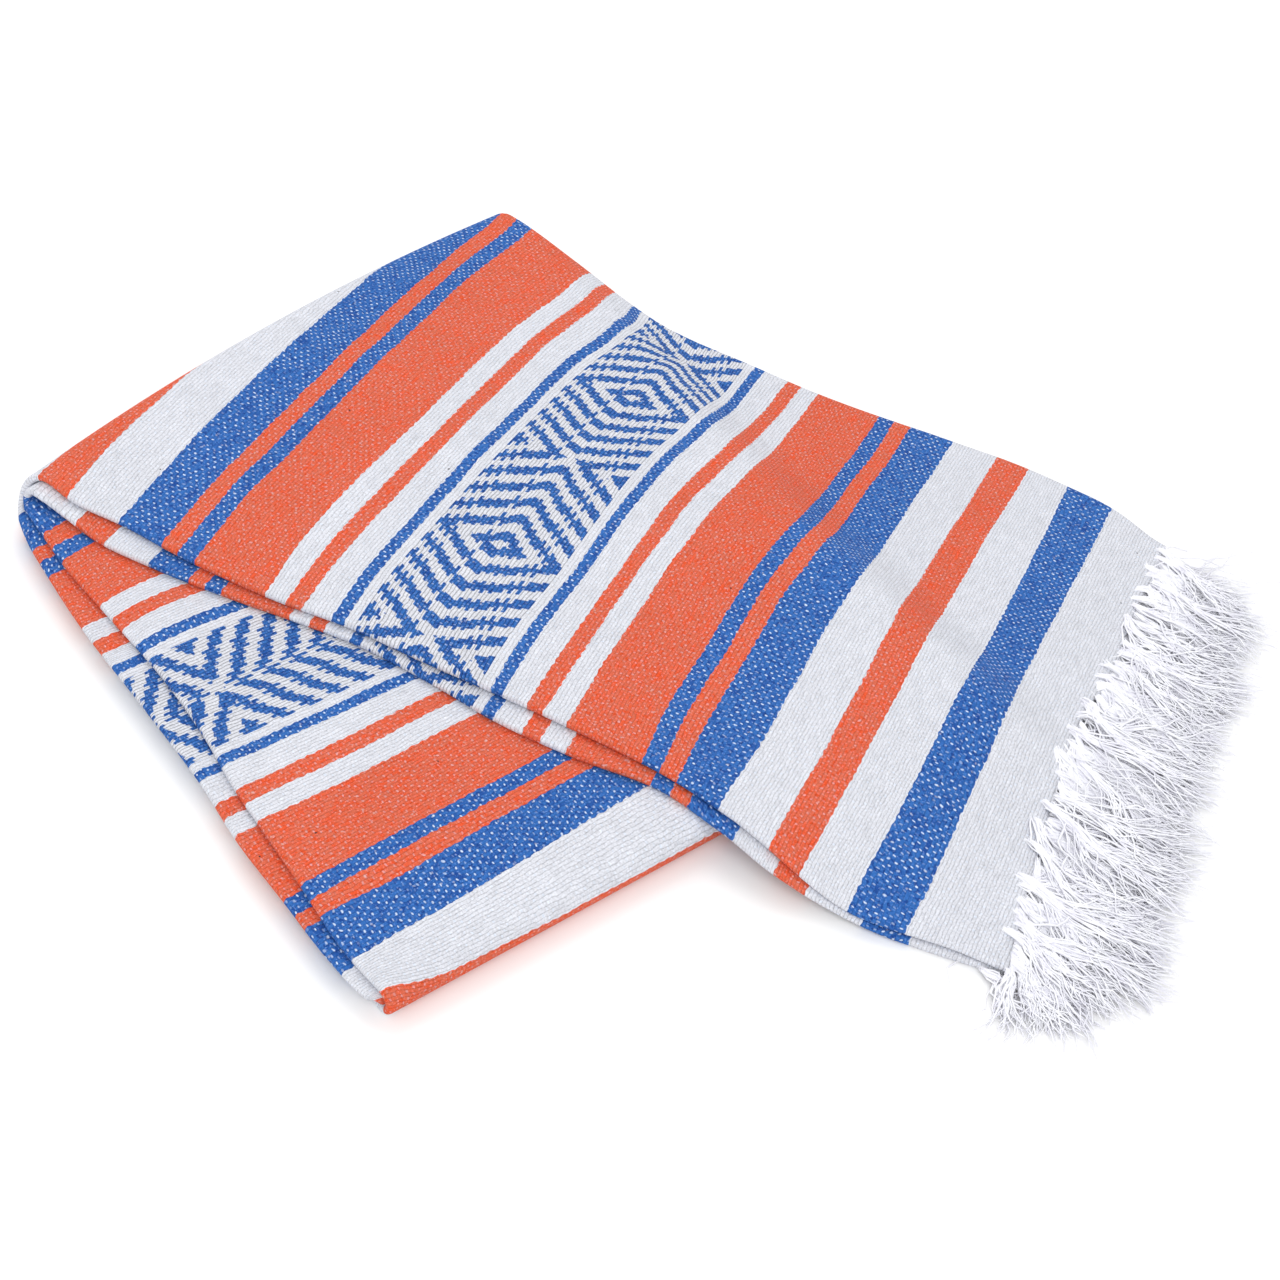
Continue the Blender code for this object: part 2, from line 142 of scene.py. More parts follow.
@dataclass(frozen=True)
class FoldPlan:
    """The sizes of the folded strip, and the map from the opened strip to the folded one."""

    cloth: float = 0.0020
    gap: float = 0.0003
    strip: float = 0.0095
    near_roll: float = 0.0022
    far_roll: float = 0.00475
    far_turn: float = 0.025
    fold_x: float = -0.2365
    slant: float = math.radians(13.4)
    fold_inside: float = 0.0015
    bow: float = 0.0115
    bow_middle: float = 0.205
    bow_half: float = 0.190
    bow_fade: float = 0.120
    swell_fade: float = 0.050
    end_x: float = -0.605
    end_tuck: float = 0.020
    end_bridge: float = 0.002
    end_fall: float = 0.092
    side_bridge: float = 0.002
    side_fall: float = 0.053
    selvedge_short: float = 0.004
    pick_ripple: float = 0.0007
    pick_ripple_rates: Span = (410.0, 173.0)
    bare_fade: float = 0.030
    bare_from: float = 0.014
    middle_x: float = 0.0865
    middle_y: float = 0.1050
    swells: Rows = (
        (0.00030, 31.0, 17.0, 0.7, -9.0, 23.0, 1.9),
        (0.00016, 73.0, -41.0, 0.0, 29.0, 57.0, 0.4),
    )
    outer_edge: Rows = (
        (0.330, 0.001), (0.300, 0.000), (0.276, -0.004), (0.247, -0.009), (0.220, -0.008),
        (0.201, -0.005), (0.171, 0.001), (0.145, 0.006), (0.083, 0.009), (0.000, 0.008),
        (-0.040, 0.008), (-0.084, 0.004), (-0.137, 0.004), (-0.175, 0.007), (-0.204, 0.006),
        (-0.227, 0.010), (-0.245, 0.007), (-0.262, 0.001), (-0.280, -0.003), (-0.300, -0.005),
        (-0.343, -0.008), (-0.404, -0.008), (-0.463, -0.009), (-0.500, -0.012), (-0.540, -0.012),
        (-0.577, -0.012), (-0.600, -0.010), (-0.615, -0.006), (-0.660, 0.002),
    )
    lower_edge: Rows = (
        (0.330, 0.004), (0.311, 0.000), (0.279, -0.005), (0.249, -0.009), (0.223, -0.0115),
        (0.203, -0.0115), (0.179, -0.007), (0.142, 0.001), (0.095, -0.003), (0.050, -0.003),
        (0.018, 0.001), (-0.038, 0.004), (-0.068, 0.001), (-0.101, -0.003), (-0.141, -0.006),
        (-0.177, -0.006), (-0.199, -0.002), (-0.221, 0.002), (-0.245, 0.005), (-0.284, 0.004),
        (-0.303, 0.003), (-0.353, 0.005), (-0.390, 0.007), (-0.443, 0.005), (-0.474, 0.001),
        (-0.505, -0.001), (-0.538, -0.003), (-0.584, -0.006), (-0.610, -0.004), (-0.660, -0.002),
    )
    far_edge: Rows = (
        (0.330, 0.352), (0.318, 0.354), (0.284, 0.367), (0.254, 0.370), (0.226, 0.371),
        (0.179, 0.368), (0.132, 0.363), (0.093, 0.360), (0.050, 0.361), (0.000, 0.362),
        (-0.038, 0.366), (-0.075, 0.371), (-0.118, 0.377), (-0.150, 0.381), (-0.200, 0.381),
        (-0.260, 0.376), (-0.350, 0.366), (-0.450, 0.359), (-0.660, 0.355),
    )
    woven_end: Rows = (
        (0.000, 0.327), (0.040, 0.323), (0.077, 0.320), (0.114, 0.317), (0.151, 0.314),
        (0.188, 0.315), (0.225, 0.320), (0.262, 0.319), (0.299, 0.320), (0.327, 0.322),
        (0.352, 0.321),
    )
    upper_creases: tuple[Crease, ...] = (
        Crease(0.150, 0.190, -0.080, 0.325, 0.030, 0.0012),
        Crease(0.225, 0.060, 0.205, 0.330, 0.022, 0.0010),
        Crease(0.120, 0.050, 0.135, 0.230, 0.020, -0.0008),
        Crease(-0.030, 0.040, -0.120, 0.300, 0.028, 0.0009),
        Crease(0.020, 0.215, 0.130, 0.262, 0.012, 0.0009),
        Crease(-0.160, 0.090, -0.060, 0.140, 0.014, -0.0007),
        Crease(0.245, 0.120, 0.300, 0.300, 0.012, 0.0008),
        Crease(0.060, 0.022, 0.190, 0.034, 0.008, -0.0007),
        Crease(-0.190, 0.024, -0.040, 0.020, 0.007, -0.0006),
        Crease(-0.150, 0.250, -0.120, 0.350, 0.012, 0.0008),
    )
    lower_creases: tuple[Crease, ...] = (
        Crease(-0.300, 0.060, -0.420, 0.090, 0.014, 0.0008),
        Crease(-0.480, 0.020, -0.520, 0.200, 0.016, -0.0007),
        Crease(-0.560, 0.040, -0.575, 0.180, 0.012, 0.0009),
        Crease(-0.360, 0.030, -0.450, 0.024, 0.007, -0.0006),
        Crease(-0.400, 0.200, -0.540, 0.300, 0.020, 0.0010),
    )

    @property
    def fold_outside(self) -> float:
        """Radius of the left fold's outer face."""
        return self.fold_inside + self.strip

    @property
    def lower_top(self) -> float:
        """Height of the lower stretch's upper face."""
        return self.strip + self.gap + self.strip

    @property
    def upper_base(self) -> float:
        """Height of the upper stretch's underside where it lies on the lower one."""
        return self.lower_top + self.gap

    @property
    def end_outside(self) -> float:
        """Radius of the end fold's outer face."""
        return self.lower_top / 2

    def to_fold(self, x: Array, y: Array) -> tuple[Array, Array]:
        """Returns the distance from the left fold's line, and the place along it."""
        dx = x - self.fold_x
        c, s = math.cos(self.slant), math.sin(self.slant)
        return dx * c - y * s, dx * s + y * c

    def from_fold(self, across: Array, along: Array) -> tuple[Array, Array]:
        """Returns x and y of places given by the left fold's line."""
        c, s = math.cos(self.slant), math.sin(self.slant)
        return self.fold_x + across * c + along * s, -across * s + along * c

    def turned_back(self, across: Array) -> Array:
        """Turns distances past the left fold into ones on the lower stretch, and back."""
        return 2.0 * self.fold_outside - across - math.pi * self.fold_outside

    def rest_height(self, x: Array, y: Array) -> Array:
        """Works out how high the upper stretch's underside lies.

        Args:
            x: Places along the opened strip.
            y: Places across it.

        Returns:
            Heights above the table.
        """
        across, along = self.to_fold(x, y)
        sx, sy = self.from_fold(self.turned_back(across), along)
        past_end = np.maximum(0.0, self.end_x - self.end_outside - self.end_bridge - sx)
        past_side = np.maximum(0.0, sy - self.side_bridge - soft_read(self.far_edge, sx))
        past = np.hypot(past_end / self.end_fall, past_side / self.side_fall)
        return self.upper_base * soft_step(1.0 - past)

    def station_line(self, index: int, y: Array) -> Array:
        """Finds a line that parts the stretches.

        Args:
            index: The line, from 0, the woven end, to 5, the tucked end.
            y: Places across the strip.

        Returns:
            Its x at each y.
        """
        if index == 0:
            fine, broad = self.pick_ripple_rates
            ripple = self.pick_ripple * np.sin(fine * y) * np.sin(broad * y + 1.0)
            return soft_read(self.woven_end, y) + ripple
        if index in (1, 2):
            past = 0.0 if index == 1 else math.pi * self.fold_outside
            across = self.fold_outside - past
            return self.fold_x + (across + y * math.sin(self.slant)) / math.cos(self.slant)
        turn = math.pi * self.end_outside
        return np.full_like(y, self.end_x - (0.0, turn, turn + self.end_tuck)[index - 3])

    def station_x(self, station: Array, y: Array) -> Array:
        """Finds stations on the opened strip.

        Args:
            station: Line numbers with fractions, for places between two lines.
            y: Places across the strip.

        Returns:
            Their x.
        """
        index = np.minimum(station.astype(int), STATION_LINES - 2)
        lines = np.stack([self.station_line(k, y) for k in range(STATION_LINES)])
        pick = np.arange(len(y))
        here, after = lines[index, pick], lines[index + 1, pick]
        return here + (after - here) * (station - index)

    def waves(self, x: Array, y: Array) -> Array:
        """Returns the small uneven swell that handwoven cloth keeps everywhere."""
        return sum(
            height * (np.sin(a * x + b * y + c) * np.sin(d * x + e * y + f))
            for height, a, b, c, d, e, f in self.swells
        )

    def place(self, x: Array, y: Array, h: Array) -> Array:
        """Folds points of the opened strip.

        Args:
            x: Places along the opened strip.
            y: Places across it.
            h: Heights in it, from 0 to the strip's thickness.

        Returns:
            Rows of x, y and z, about the origin under the middle of the whole serape.
        """
        across, along = self.to_fold(x, y)
        past = self.fold_outside - across
        turn = math.pi * self.fold_outside
        share = h / self.strip
        swell = (2.0 * self.fold_inside - self.gap) * soft_step(1.0 + past / self.swell_fade)
        lift = sum(crease.lift(x, y) for crease in self.upper_creases) + self.waves(x, y)
        z_upper = self.rest_height(x, y) + h + swell + lift * share
        radius = self.fold_inside + h
        angle = np.clip(past, 0.0, turn) / self.fold_outside
        across_arc = self.fold_outside - radius * np.sin(angle)
        z_arc = self.lower_top + self.fold_inside + radius * np.cos(angle)
        across_low, along_low, z_low = self.lower_place(x, y, h)
        upper, arc = past <= 0.0, (past > 0.0) & (past < turn)
        z = np.where(upper, z_upper, np.where(arc, z_arc, z_low))
        across = np.where(upper, across, np.where(arc, across_arc, across_low))
        along = np.where(upper | arc, along, along_low)
        px, py = self.from_fold(across - self.bowed(across, along), along)
        return np.stack([px - self.middle_x, py - self.middle_y, z], axis=-1)

    def lies_at(self, x: Array, y: Array) -> Array:
        """Returns x of points of the upper stretch once the left fold's bow has moved them."""
        across, along = self.to_fold(x, y)
        return x - self.bowed(across, along) * math.cos(self.slant)

    def bowed(self, across: Array, along: Array) -> Array:
        """Returns how far the left fold's bow pushes points outwards."""
        t = (along - self.bow_middle) / self.bow_half
        away = np.maximum(0.0, np.abs(across) - self.fold_outside)
        return self.bow * np.maximum(0.0, 1.0 - t * t) * soft_step(1.0 - away / self.bow_fade)

    def lower_place(self, x: Array, y: Array, h: Array) -> tuple[Array, Array, Array]:
        """Folds points past the left fold, round the end fold too.

        Args:
            x: Places along the opened strip.
            y: Places across it.
            h: Heights in the strip.

        Returns:
            Distances from the left fold's line, places along it, and heights above the table.
        """
        past = self.end_x - x
        radius = self.end_outside - h
        turn = math.pi * self.end_outside
        lift = sum(crease.lift(x, y) for crease in self.lower_creases) + self.waves(x, y)
        angle = np.clip(past, 0.0, turn) / self.end_outside
        flat, arc = past <= 0.0, past < turn
        across, along = self.to_fold(x, y)
        _, lies_y = self.from_fold(self.turned_back(across), along)
        bare = soft_step((x - self.end_x) / self.bare_fade)
        bare = bare * soft_step((-self.bare_from - lies_y) / self.bare_fade)
        z_flat = self.lower_top - h + lift * (1.0 - h / self.strip) * bare
        z_arc = self.end_outside + radius * np.cos(angle)
        z = np.where(flat, z_flat, np.where(arc, z_arc, h))
        x_arc = self.end_x - radius * np.sin(angle)
        x_new = np.where(flat, x, np.where(arc, x_arc, self.end_x + past - turn))
        across, along = self.to_fold(x_new, y)
        return self.turned_back(across), along, z


def carried_on(rows: Array) -> Array:
    """Adds a row a metre before the first and a metre past the last."""
    return np.concatenate([rows[:1] - 1.0, rows, rows[-1:] + 1.0])


@dataclass(frozen=True)
class ColourChart:
    """Where each stripe border lies on the cloth, since a hand beats no stripe quite straight.

    The chart is in millimetres. Each row holds the border's place in the even pattern, then its
    real x at each y of the columns. The rows run from the fringe to the tucked end, and a short
    row keeps its last value to the far edge.
    """

    columns: tuple[float, ...]
    rows: Rows
    across: Rows

    def line(self, row: tuple[float, ...], at: Array) -> Array:
        """Returns x of one border at these y."""
        places = row[1:] + row[-1:] * (len(self.columns) + 1 - len(row))
        return soft_read(tuple(zip(self.columns, places)), at / MM) * MM

    def pattern(self, x: Array, y: Array, opened_y: Array) -> tuple[Array, Array]:
        """Finds the place in the even pattern.

        Args:
            x: Places along the opened strip.
            y: Places across it as it lies.
            opened_y: Places across the cloth as if it were opened out.

        Returns:
            Places along the pattern, which grow away from the fringe, and across it.
        """
        rows = sorted(self.rows)
        even = carried_on(np.array([row[0] for row in rows]) * MM)
        lines = carried_on(np.array([self.line(row, y) for row in rows]))
        along = np.zeros_like(x)
        for low, high, start, end in zip(lines, lines[1:], even, even[1:]):
            share = (x - low) / np.maximum(high - low, CLOSEST)
            along = np.where((x > low) & (x <= high), start + (end - start) * share, along)
        place, value = carried_on(np.array(sorted(self.across)) * MM).T
        return -along, np.interp(opened_y, place, value)


OUTER_CHART = ColourChart(
    columns=(5, 50, 100, 150, 200, 225, 250, 275, 300, 325, 360),
    rows=(
        (330, 330, 330, 330, 330, 331, 331.5, 332, 333, 334, 335, 336),
        (275.2, 276.5, 278, 277.5, 277, 277.2, 278.3, 279.5, 280.6, 281.5, 282.5, 283.5),
        (250.5, 247, 249, 250, 250.5, 252, 252.6, 253, 253.6, 254, 254.1, 254),
        (220.4, 220, 222, 222.5, 222.5, 222.7, 223.3, 223.6, 224.8, 225.6, 227, 228.5),
        (199.6, 200.5, 202, 202.5, 202, 201.2, 201.6, 202.1, 203.2, 204.4, 205.7, 207.5),
        (169.5, 171, 172.5, 172.5, 172, 174.6, 174.3, 174.5, 175.4, 176.2, 177.8, 179.6),
        (128.9, 130.9, 126.5, 126.9, 125.8, 129.4, 132.4, 132.3, 132.2, 134.1, 135.5, 136.4),
        (82.2, 84, 82.2, 81.5, 81.2, 83.5, 87.2, 89.7, 89.3, 89.2, 90.3, 92),
        (66, 66.5, 65.5, 65, 64.8, 66.5, 70, 73.8, 73.7, 72.7, 75.1, 76.7),
        (43.3, 45.5, 42.3, 43.3, 42.6, 43, 45.6, 50, 52.5, 51.6, 51.6, 52.5),
        (-43.3, -44.8, -47.8, -47.3, -46.3, -43.7, -42.1, -40.6, -37.2, -31.3, -29, -34.5),
        (-66, -69.5, -71.5, -70.8, -69.5, -67.2, -65.6, -64.8, -63.2, -59.2, -55, -55.8),
        (-82.2, -84.5, -89.2, -89.2, -87.2, -84.2, -82.9, -82, -80.6, -76.5, -72.2, -70.8),
        (-123.9, -126, -129.9, -129.9, -129.9, -129.9, -129, -127.9, -126.8, -125.5, -122.2, -118),
        (-143.8, -146, -150, -151, -151, -150.5, -149.6, -148.5, -147.1, -145.5, -143.6, -141),
        (-169.5, -174.5, -176.5, -178.5, -178.5, -177.5,
         -176.1, -174.5, -172.5, -170.5, -168.9, -167.5),
        (-199.6, -204.6, -209.6, -209.6, -208.6, -207.6,
         -206.7, -205.6, -204.2, -202.6, -201.2, -199.6),
        (-220.4, -226, -228, -228, -228, -227, -226.5, -226, -225.1, -224, -223.1, -222),
        (-276.2, -286.4, -286.4, -282.2, -278),
        (-286.2, -295.9, -295.9, -291.9, -288),
        (-296.1, -307.3, -307.3, -302.6, -298),
        (-337.8, -347.3, -347.3, -343.2, -339),
        (-349.5, -357.9, -357.9, -353.9, -350),
        (-358.6, -367.9, -367.9, -363.4, -359),
        (-373.5, -376.4, -376.4, -375, -373.7),
        (-380, -383, -383, -381.5, -380),
        (-460, -456.4, -456.4, -457.7, -459),
        (-466.5, -461.6, -461.6, -463.3, -465),
        (-481.4, -477.9, -477.9, -478.4, -479),
        (-490.5, -487.9, -487.9, -487.9, -488),
        (-502.2, -498.4, -498.4, -498.2, -498),
        (-543.9, -540.7, -540.7, -539.8, -539),
        (-553.8, -550.7, -550.7, -549.8, -549),
        (-563.8, -558.7, -558.7, -558.4, -558),
        (-589.5, -588.4, -588.4, -587.2, -586),
        (-619.6, -612, -612, -611.5, -611),
    ),
    across=((22, -80), (103.5, 0), (188.5, 80), (258, 160), (328, 240)),
)
LOWER_CHART = ColourChart(
    columns=(0, 20, 60, 100, 160, 300),
    rows=(
        (310, 314),
        (210, 216),
        (170, 184),
        (101, 110),
        (40, 43),
        (-44, -33),
        (-67, -55),
        (-82, -68),
        (-146, -126),
        (-196, -170),
        (-222, -196),
        (-276.2, -285, -280.5, -280, -279, -278),
        (-286.2, -295, -292.5, -290, -288),
        (-296.1, -306, -301.6, -301, -300, -299, -298),
        (-337.8, -344, -339.3, -338.5, -338.5, -339),
        (-349.5, -354.5, -349.9, -349.5, -350),
        (-358.6, -364, -358.7, -358.5, -359),
        (-373.5, -375, -372, -371.5, -374),
        (-380, -381.5, -379.3, -379, -380),
        (-460, -457, -457, -457, -456),
        (-466.5, -462.5, -462.7, -463, -462.5, -462),
        (-481.4, -478.5, -478, -477, -475.5, -475),
        (-490.5, -488, -487.3, -487, -485, -484),
        (-502.2, -499, -499.3, -498.5, -497, -495),
        (-543.9, -540.5, -539.3, -538, -536.5, -534.5, -534),
        (-553.8, -550, -548.4, -547, -545.5, -543.5, -543),
        (-563.8, -560, -560.7, -559, -556.5, -553.5, -553),
        (-589.5, -587.5, -586.4, -585, -582, -578.5, -577),
        (-619.6, -607.5, -613.5, -616, -617.2, -617.5, -617),
    ),
    across=((26.5, -80), (107.5, 0), (189, 80)),
)


class Half(Enum):
    """The two halves of the panel, which meet on the underside near the far edge."""

    OUTER = "outer"
    LOWER = "lower"


def put_in_scene(name: str, data: bpy.types.ID) -> Piece:
    """Makes an object of a mesh, curve, lamp or camera, in the scene."""
    made = bpy.data.objects.new(name, data)
    bpy.context.scene.collection.objects.link(made)
    return made


def dressed(name: str, mesh: bpy.types.Mesh, look: Look) -> Piece:
    """Gives a mesh its material, shades it smooth and puts it in the scene."""
    mesh.materials.clear()
    mesh.materials.append(look)
    mesh.shade_smooth()
    return put_in_scene(name, mesh)


def finish_shape(name: str, shape: bmesh.types.BMesh, look: Look) -> Piece:
    """Turns a bmesh, which is freed, into a dressed object."""
    mesh = bpy.data.meshes.new(name)
    shape.to_mesh(mesh)
    shape.free()
    return dressed(name, mesh, look)


def new_cloth() -> bmesh.types.BMesh:
    """Starts a bmesh with a map for the cloth's pattern."""
    shape = bmesh.new()
    shape.loops.layers.uv.new(CLOTH_MAP)
    return shape


def grid_shares(corners: list[bmesh.types.BMVert]) -> Array:
    """Returns how far each corner of a fresh grid lies along its two sides, from 0 to 1."""
    return (np.array([corner.co[:2] for corner in corners]).T + 1.0) / 2.0


def lay_pattern(
    shape: bmesh.types.BMesh, corners: list[bmesh.types.BMVert], pattern: Array
) -> list[bmesh.types.BMFace]:
    """Writes the pattern's coordinates on the faces round some corners.

    Args:
        shape: The cloth.
        corners: Its corners.
        pattern: Each corner's place in the pattern.

    Returns:
        The faces.
    """
    layer = shape.loops.layers.uv[CLOTH_MAP]
    place = dict(zip(corners, pattern))
    faces = list({face: None for corner in corners for face in corner.link_faces})
    for face in faces:
        for loop in face.loops:
            loop[layer].uv = place[loop.vert]
    return faces


def thicken(piece: Piece, thickness: float) -> None:
    """Gives a sheet its thickness, inwards from its outer face."""
    wall = piece.modifiers.new("wall", "SOLIDIFY")
    wall.thickness = thickness
    wall.offset = -1.0


@dataclass
class FoldedCloth:
    """Half of the panel's width, folded, from the woven end to where it is tucked under."""

    name: str
    half: Half
    chart: ColourChart
    replaces: tuple[str, ...]
    plan: FoldPlan = FoldPlan()
    steps: tuple[int, ...] = (150, 14, 100, 14, 6)
    inner_columns: int = 26
    roll_columns: int = 12
    face_columns: int = 100
    turn_columns: int = 6
    wall_share: float = 0.92

    def stations(self) -> Array:
        """Returns the stations of the rows along the strip."""
        parts = [np.array([0.0])]
        for index, count in enumerate(self.steps):
            parts.append(index + (np.arange(count) + 1.0) / count)
        return np.concatenate(parts)

    def columns(self) -> tuple[Array, Array]:
        """Returns each column's segment of the section and its share along it."""
        inner, roll, face = self.inner_columns, self.roll_columns, self.face_columns
        counts = (face, roll, inner)
        if self.half is Half.OUTER:
            counts = (inner, roll, face, roll, self.turn_columns)
        found = [(0, 0.0)]
        for segment, count in enumerate(counts):
            found += [(segment, (k + 1) / count) for k in range(count)]
        return np.array([segment for segment, _ in found]), np.array([share for _, share in found])

    def outer_point(self, segment: Array, t: Array, near: Array, far: Array) -> Array:
        """Runs along the outer half's section.

        Args:
            segment: Number of each point's segment of the section.
            t: Share of the way along it.
            near: Where the near edge lies.
            far: Where the far edge lies.

        Returns:
            Rows of y, of h, and of y on the opened cloth.
        """
        p = self.plan
        r, big = p.near_roll, p.far_roll
        start, stop = near + r, far - big
        angle = np.pi * t
        y0 = stop - p.selvedge_short + (start - stop + p.selvedge_short) * t
        y2 = start + (stop - start) * t
        y4 = stop - (p.far_turn - big) * t
        y = (y0, start - r * np.sin(angle), y2, stop + big * np.sin(angle), y4)
        h1, h3 = p.strip - r - r * np.cos(angle), big + big * np.cos(angle)
        h = (p.strip - 2.0 * r, h1, p.strip, h3, 0.0)
        open0 = start - np.pi * r - (y0 - start)
        open1, open3 = start - r * (np.pi - angle), stop + big * angle
        opened = (open0, open1, y2, open3, stop + np.pi * big + (stop - y4))
        return np.stack([np.choose(segment, values) for values in (y, h, opened)])

    def lower_point(self, segment: Array, t: Array, near: Array, far: Array) -> Array:
        """Runs along the lower half's section.

        Args:
            segment: Number of each point's segment of the section.
            t: Share of the way along it.
            near: Where the near edge lies.
            far: Where the far edge lies.

        Returns:
            Rows of y, of h, and of y on the opened cloth.
        """
        p = self.plan
        r = p.near_roll
        start, stop = near + r, far - p.far_turn
        angle = np.pi * t
        y0 = stop + (start - stop) * t
        y2 = start + (far - p.far_roll - p.selvedge_short - start) * t
        y = (y0, start - r * np.sin(angle), y2)
        h = (0.0, r - r * np.cos(angle), 2.0 * r)
        opened = (y0, start - r * angle, start - np.pi * r - (y2 - start))
        return np.stack([np.choose(segment, values) for values in (y, h, opened)])

    def settle(self, rows: Array, columns: Array) -> tuple[Array, Array]:
        """Works out where each point of the grid lies.

        Args:
            rows: Row number of each point.
            columns: Column number of each point.

        Returns:
            The points, and their places in the pattern.
        """
        plan = self.plan
        station = self.stations()[rows]
        segment, t = (values[columns] for values in self.columns())
        outer = self.half is Half.OUTER
        edge = plan.outer_edge if outer else plan.lower_edge
        near = soft_read(edge, plan.station_x(station, np.zeros_like(t)))
        far = soft_read(plan.far_edge, plan.station_x(station, np.full_like(t, STRIP_WIDTH)))
        section = self.outer_point if outer else self.lower_point
        y, h, opened = section(segment, t, near, far)
        x = plan.station_x(station, y)
        along_top, across = self.chart.pattern(plan.lies_at(x, y), y, opened)
        along_under, _ = self.chart.pattern(x, y, opened)
        past = plan.fold_outside - plan.to_fold(x, y)[0]
        turned = np.clip(past / (math.pi * plan.fold_outside), 0.0, 1.0)
        along = along_top + (along_under - along_top) * turned
        return plan.place(x, y, h), np.stack([along, across], axis=-1)

    def build(self, look: Look) -> Piece:
        """Builds the half of the panel.

        Args:
            look: The cloth's material.

        Returns:
            The finished piece, riding on the frame.
        """
        shape = new_cloth()
        long, wide = len(self.stations()) - 1, len(self.columns()[0]) - 1
        made = bmesh.ops.create_grid(shape, x_segments=long, y_segments=wide, size=1.0)
        along, across = grid_shares(made["verts"])
        rows, columns = np.rint([along * long, across * wide]).astype(int)
        points, pattern = self.settle(rows, columns)
        for vertex, point in zip(made["verts"], points):
            vertex.co = point
        lay_pattern(shape, made["verts"], pattern)
        self.face_out(shape)
        piece = finish_shape(self.name, shape, look)
        thicken(piece, self.plan.cloth * self.wall_share)
        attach(piece, "root")
        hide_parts(*self.replaces)
        return piece

    def face_out(self, shape: bmesh.types.BMesh) -> None:
        """Turns the sheet so that its outer face points out of the fold."""
        shape.normal_update()
        tallest = max(shape.faces, key=lambda f: f.calc_center_median().z)
        deepest = min(shape.faces, key=lambda f: f.calc_center_median().z)
        wrong = tallest.normal.z < 0.0 if self.half is Half.OUTER else deepest.normal.z > 0.0
        if wrong:
            bmesh.ops.reverse_faces(shape, faces=shape.faces)


@dataclass
class TuckedStack:
    """The last stretch, four layers of cloth under the lower stretch."""

    name: str = "tucked_under_layers"
    plan: FoldPlan = FoldPlan()
    layers: int = 4
    inset: float = 0.004
    far_y: float = 0.361
    segments: int = 40
    lift: float = 0.00005
    wall_share: float = 0.94
    edge_share: float = 0.3
    edge_segments: int = 2
    sway: float = 0.0008
    sway_rate: float = 9.0
    sway_step: float = 2.1
    ripple: float = 0.0005
    ripple_rate: float = 23.0
    shorter: float = 0.0004
    end_sway: float = 0.0006
    end_rate: float = 8.0
    fold_gap: float = 0.0006

    def layer_point(self, s: Array, t: Array, number: int) -> Array:
        """Finds places on one layer.

        Args:
            s: Shares of the way along it.
            t: Shares of the way across it.
            number: The layer's number.

        Returns:
            Rows of x on the opened strip and of y.
        """
        plan = self.plan
        uneven = self.sway * np.sin(self.sway_rate * s + self.sway_step * number)
        uneven = uneven + self.ripple * np.sin(self.ripple_rate * s + number)
        near = self.inset + uneven
        far = self.far_y - uneven - self.shorter * number
        y = near + (far - near) * t
        sway = self.end_sway * np.sin(self.end_rate * t + number)
        right = plan.end_x + plan.end_tuck + plan.gap + sway
        left = plan.station_line(2, y) - self.fold_gap
        return np.stack([right + (left - right) * s, y])

    def add_layer(self, shape: bmesh.types.BMesh, number: int, low: float) -> None:
        """Adds one layer.

        Args:
            shape: The stack so far.
            number: The layer's number, from the table up.
            low: The height of its underside.
        """
        plan, count = self.plan, self.segments
        made = bmesh.ops.create_grid(shape, x_segments=count, y_segments=count, size=1.0)
        x, y = self.layer_point(*grid_shares(made["verts"]), number)
        across, along = plan.to_fold(x, y)
        px, py = plan.from_fold(plan.turned_back(across), along)
        heights = np.full_like(px, low)
        points = np.stack([px - plan.middle_x, py - plan.middle_y, heights], axis=-1)
        for vertex, point in zip(made["verts"], points):
            vertex.co = point
        turn = math.pi * plan.end_outside
        along_cloth = turn - plan.end_x + x - plan.end_x
        _, across_cloth = LOWER_CHART.pattern(x, y, y)
        pattern = np.stack([along_cloth, across_cloth], axis=-1)
        faces = lay_pattern(shape, made["verts"], pattern)
        shape.normal_update()
        if faces[0].normal.z > 0.0:
            bmesh.ops.reverse_faces(shape, faces=faces)

    def build(self, look: Look) -> Piece:
        """Builds the stack of layers.

        Args:
            look: The cloth's material.

        Returns:
            The finished piece, riding on the frame.
        """
        thick = self.plan.strip / self.layers
        shape = new_cloth()
        for number in range(self.layers):
            self.add_layer(shape, number, number * thick + self.lift)
        piece = finish_shape(self.name, shape, look)
        thicken(piece, thick * self.wall_share)
        edge = piece.modifiers.new("soft_edge", "BEVEL")
        edge.width = thick * self.edge_share
        edge.segments = self.edge_segments
        edge.limit_method = "ANGLE"
        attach(piece, "root")
        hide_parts("folded_under_stretch")
        return piece


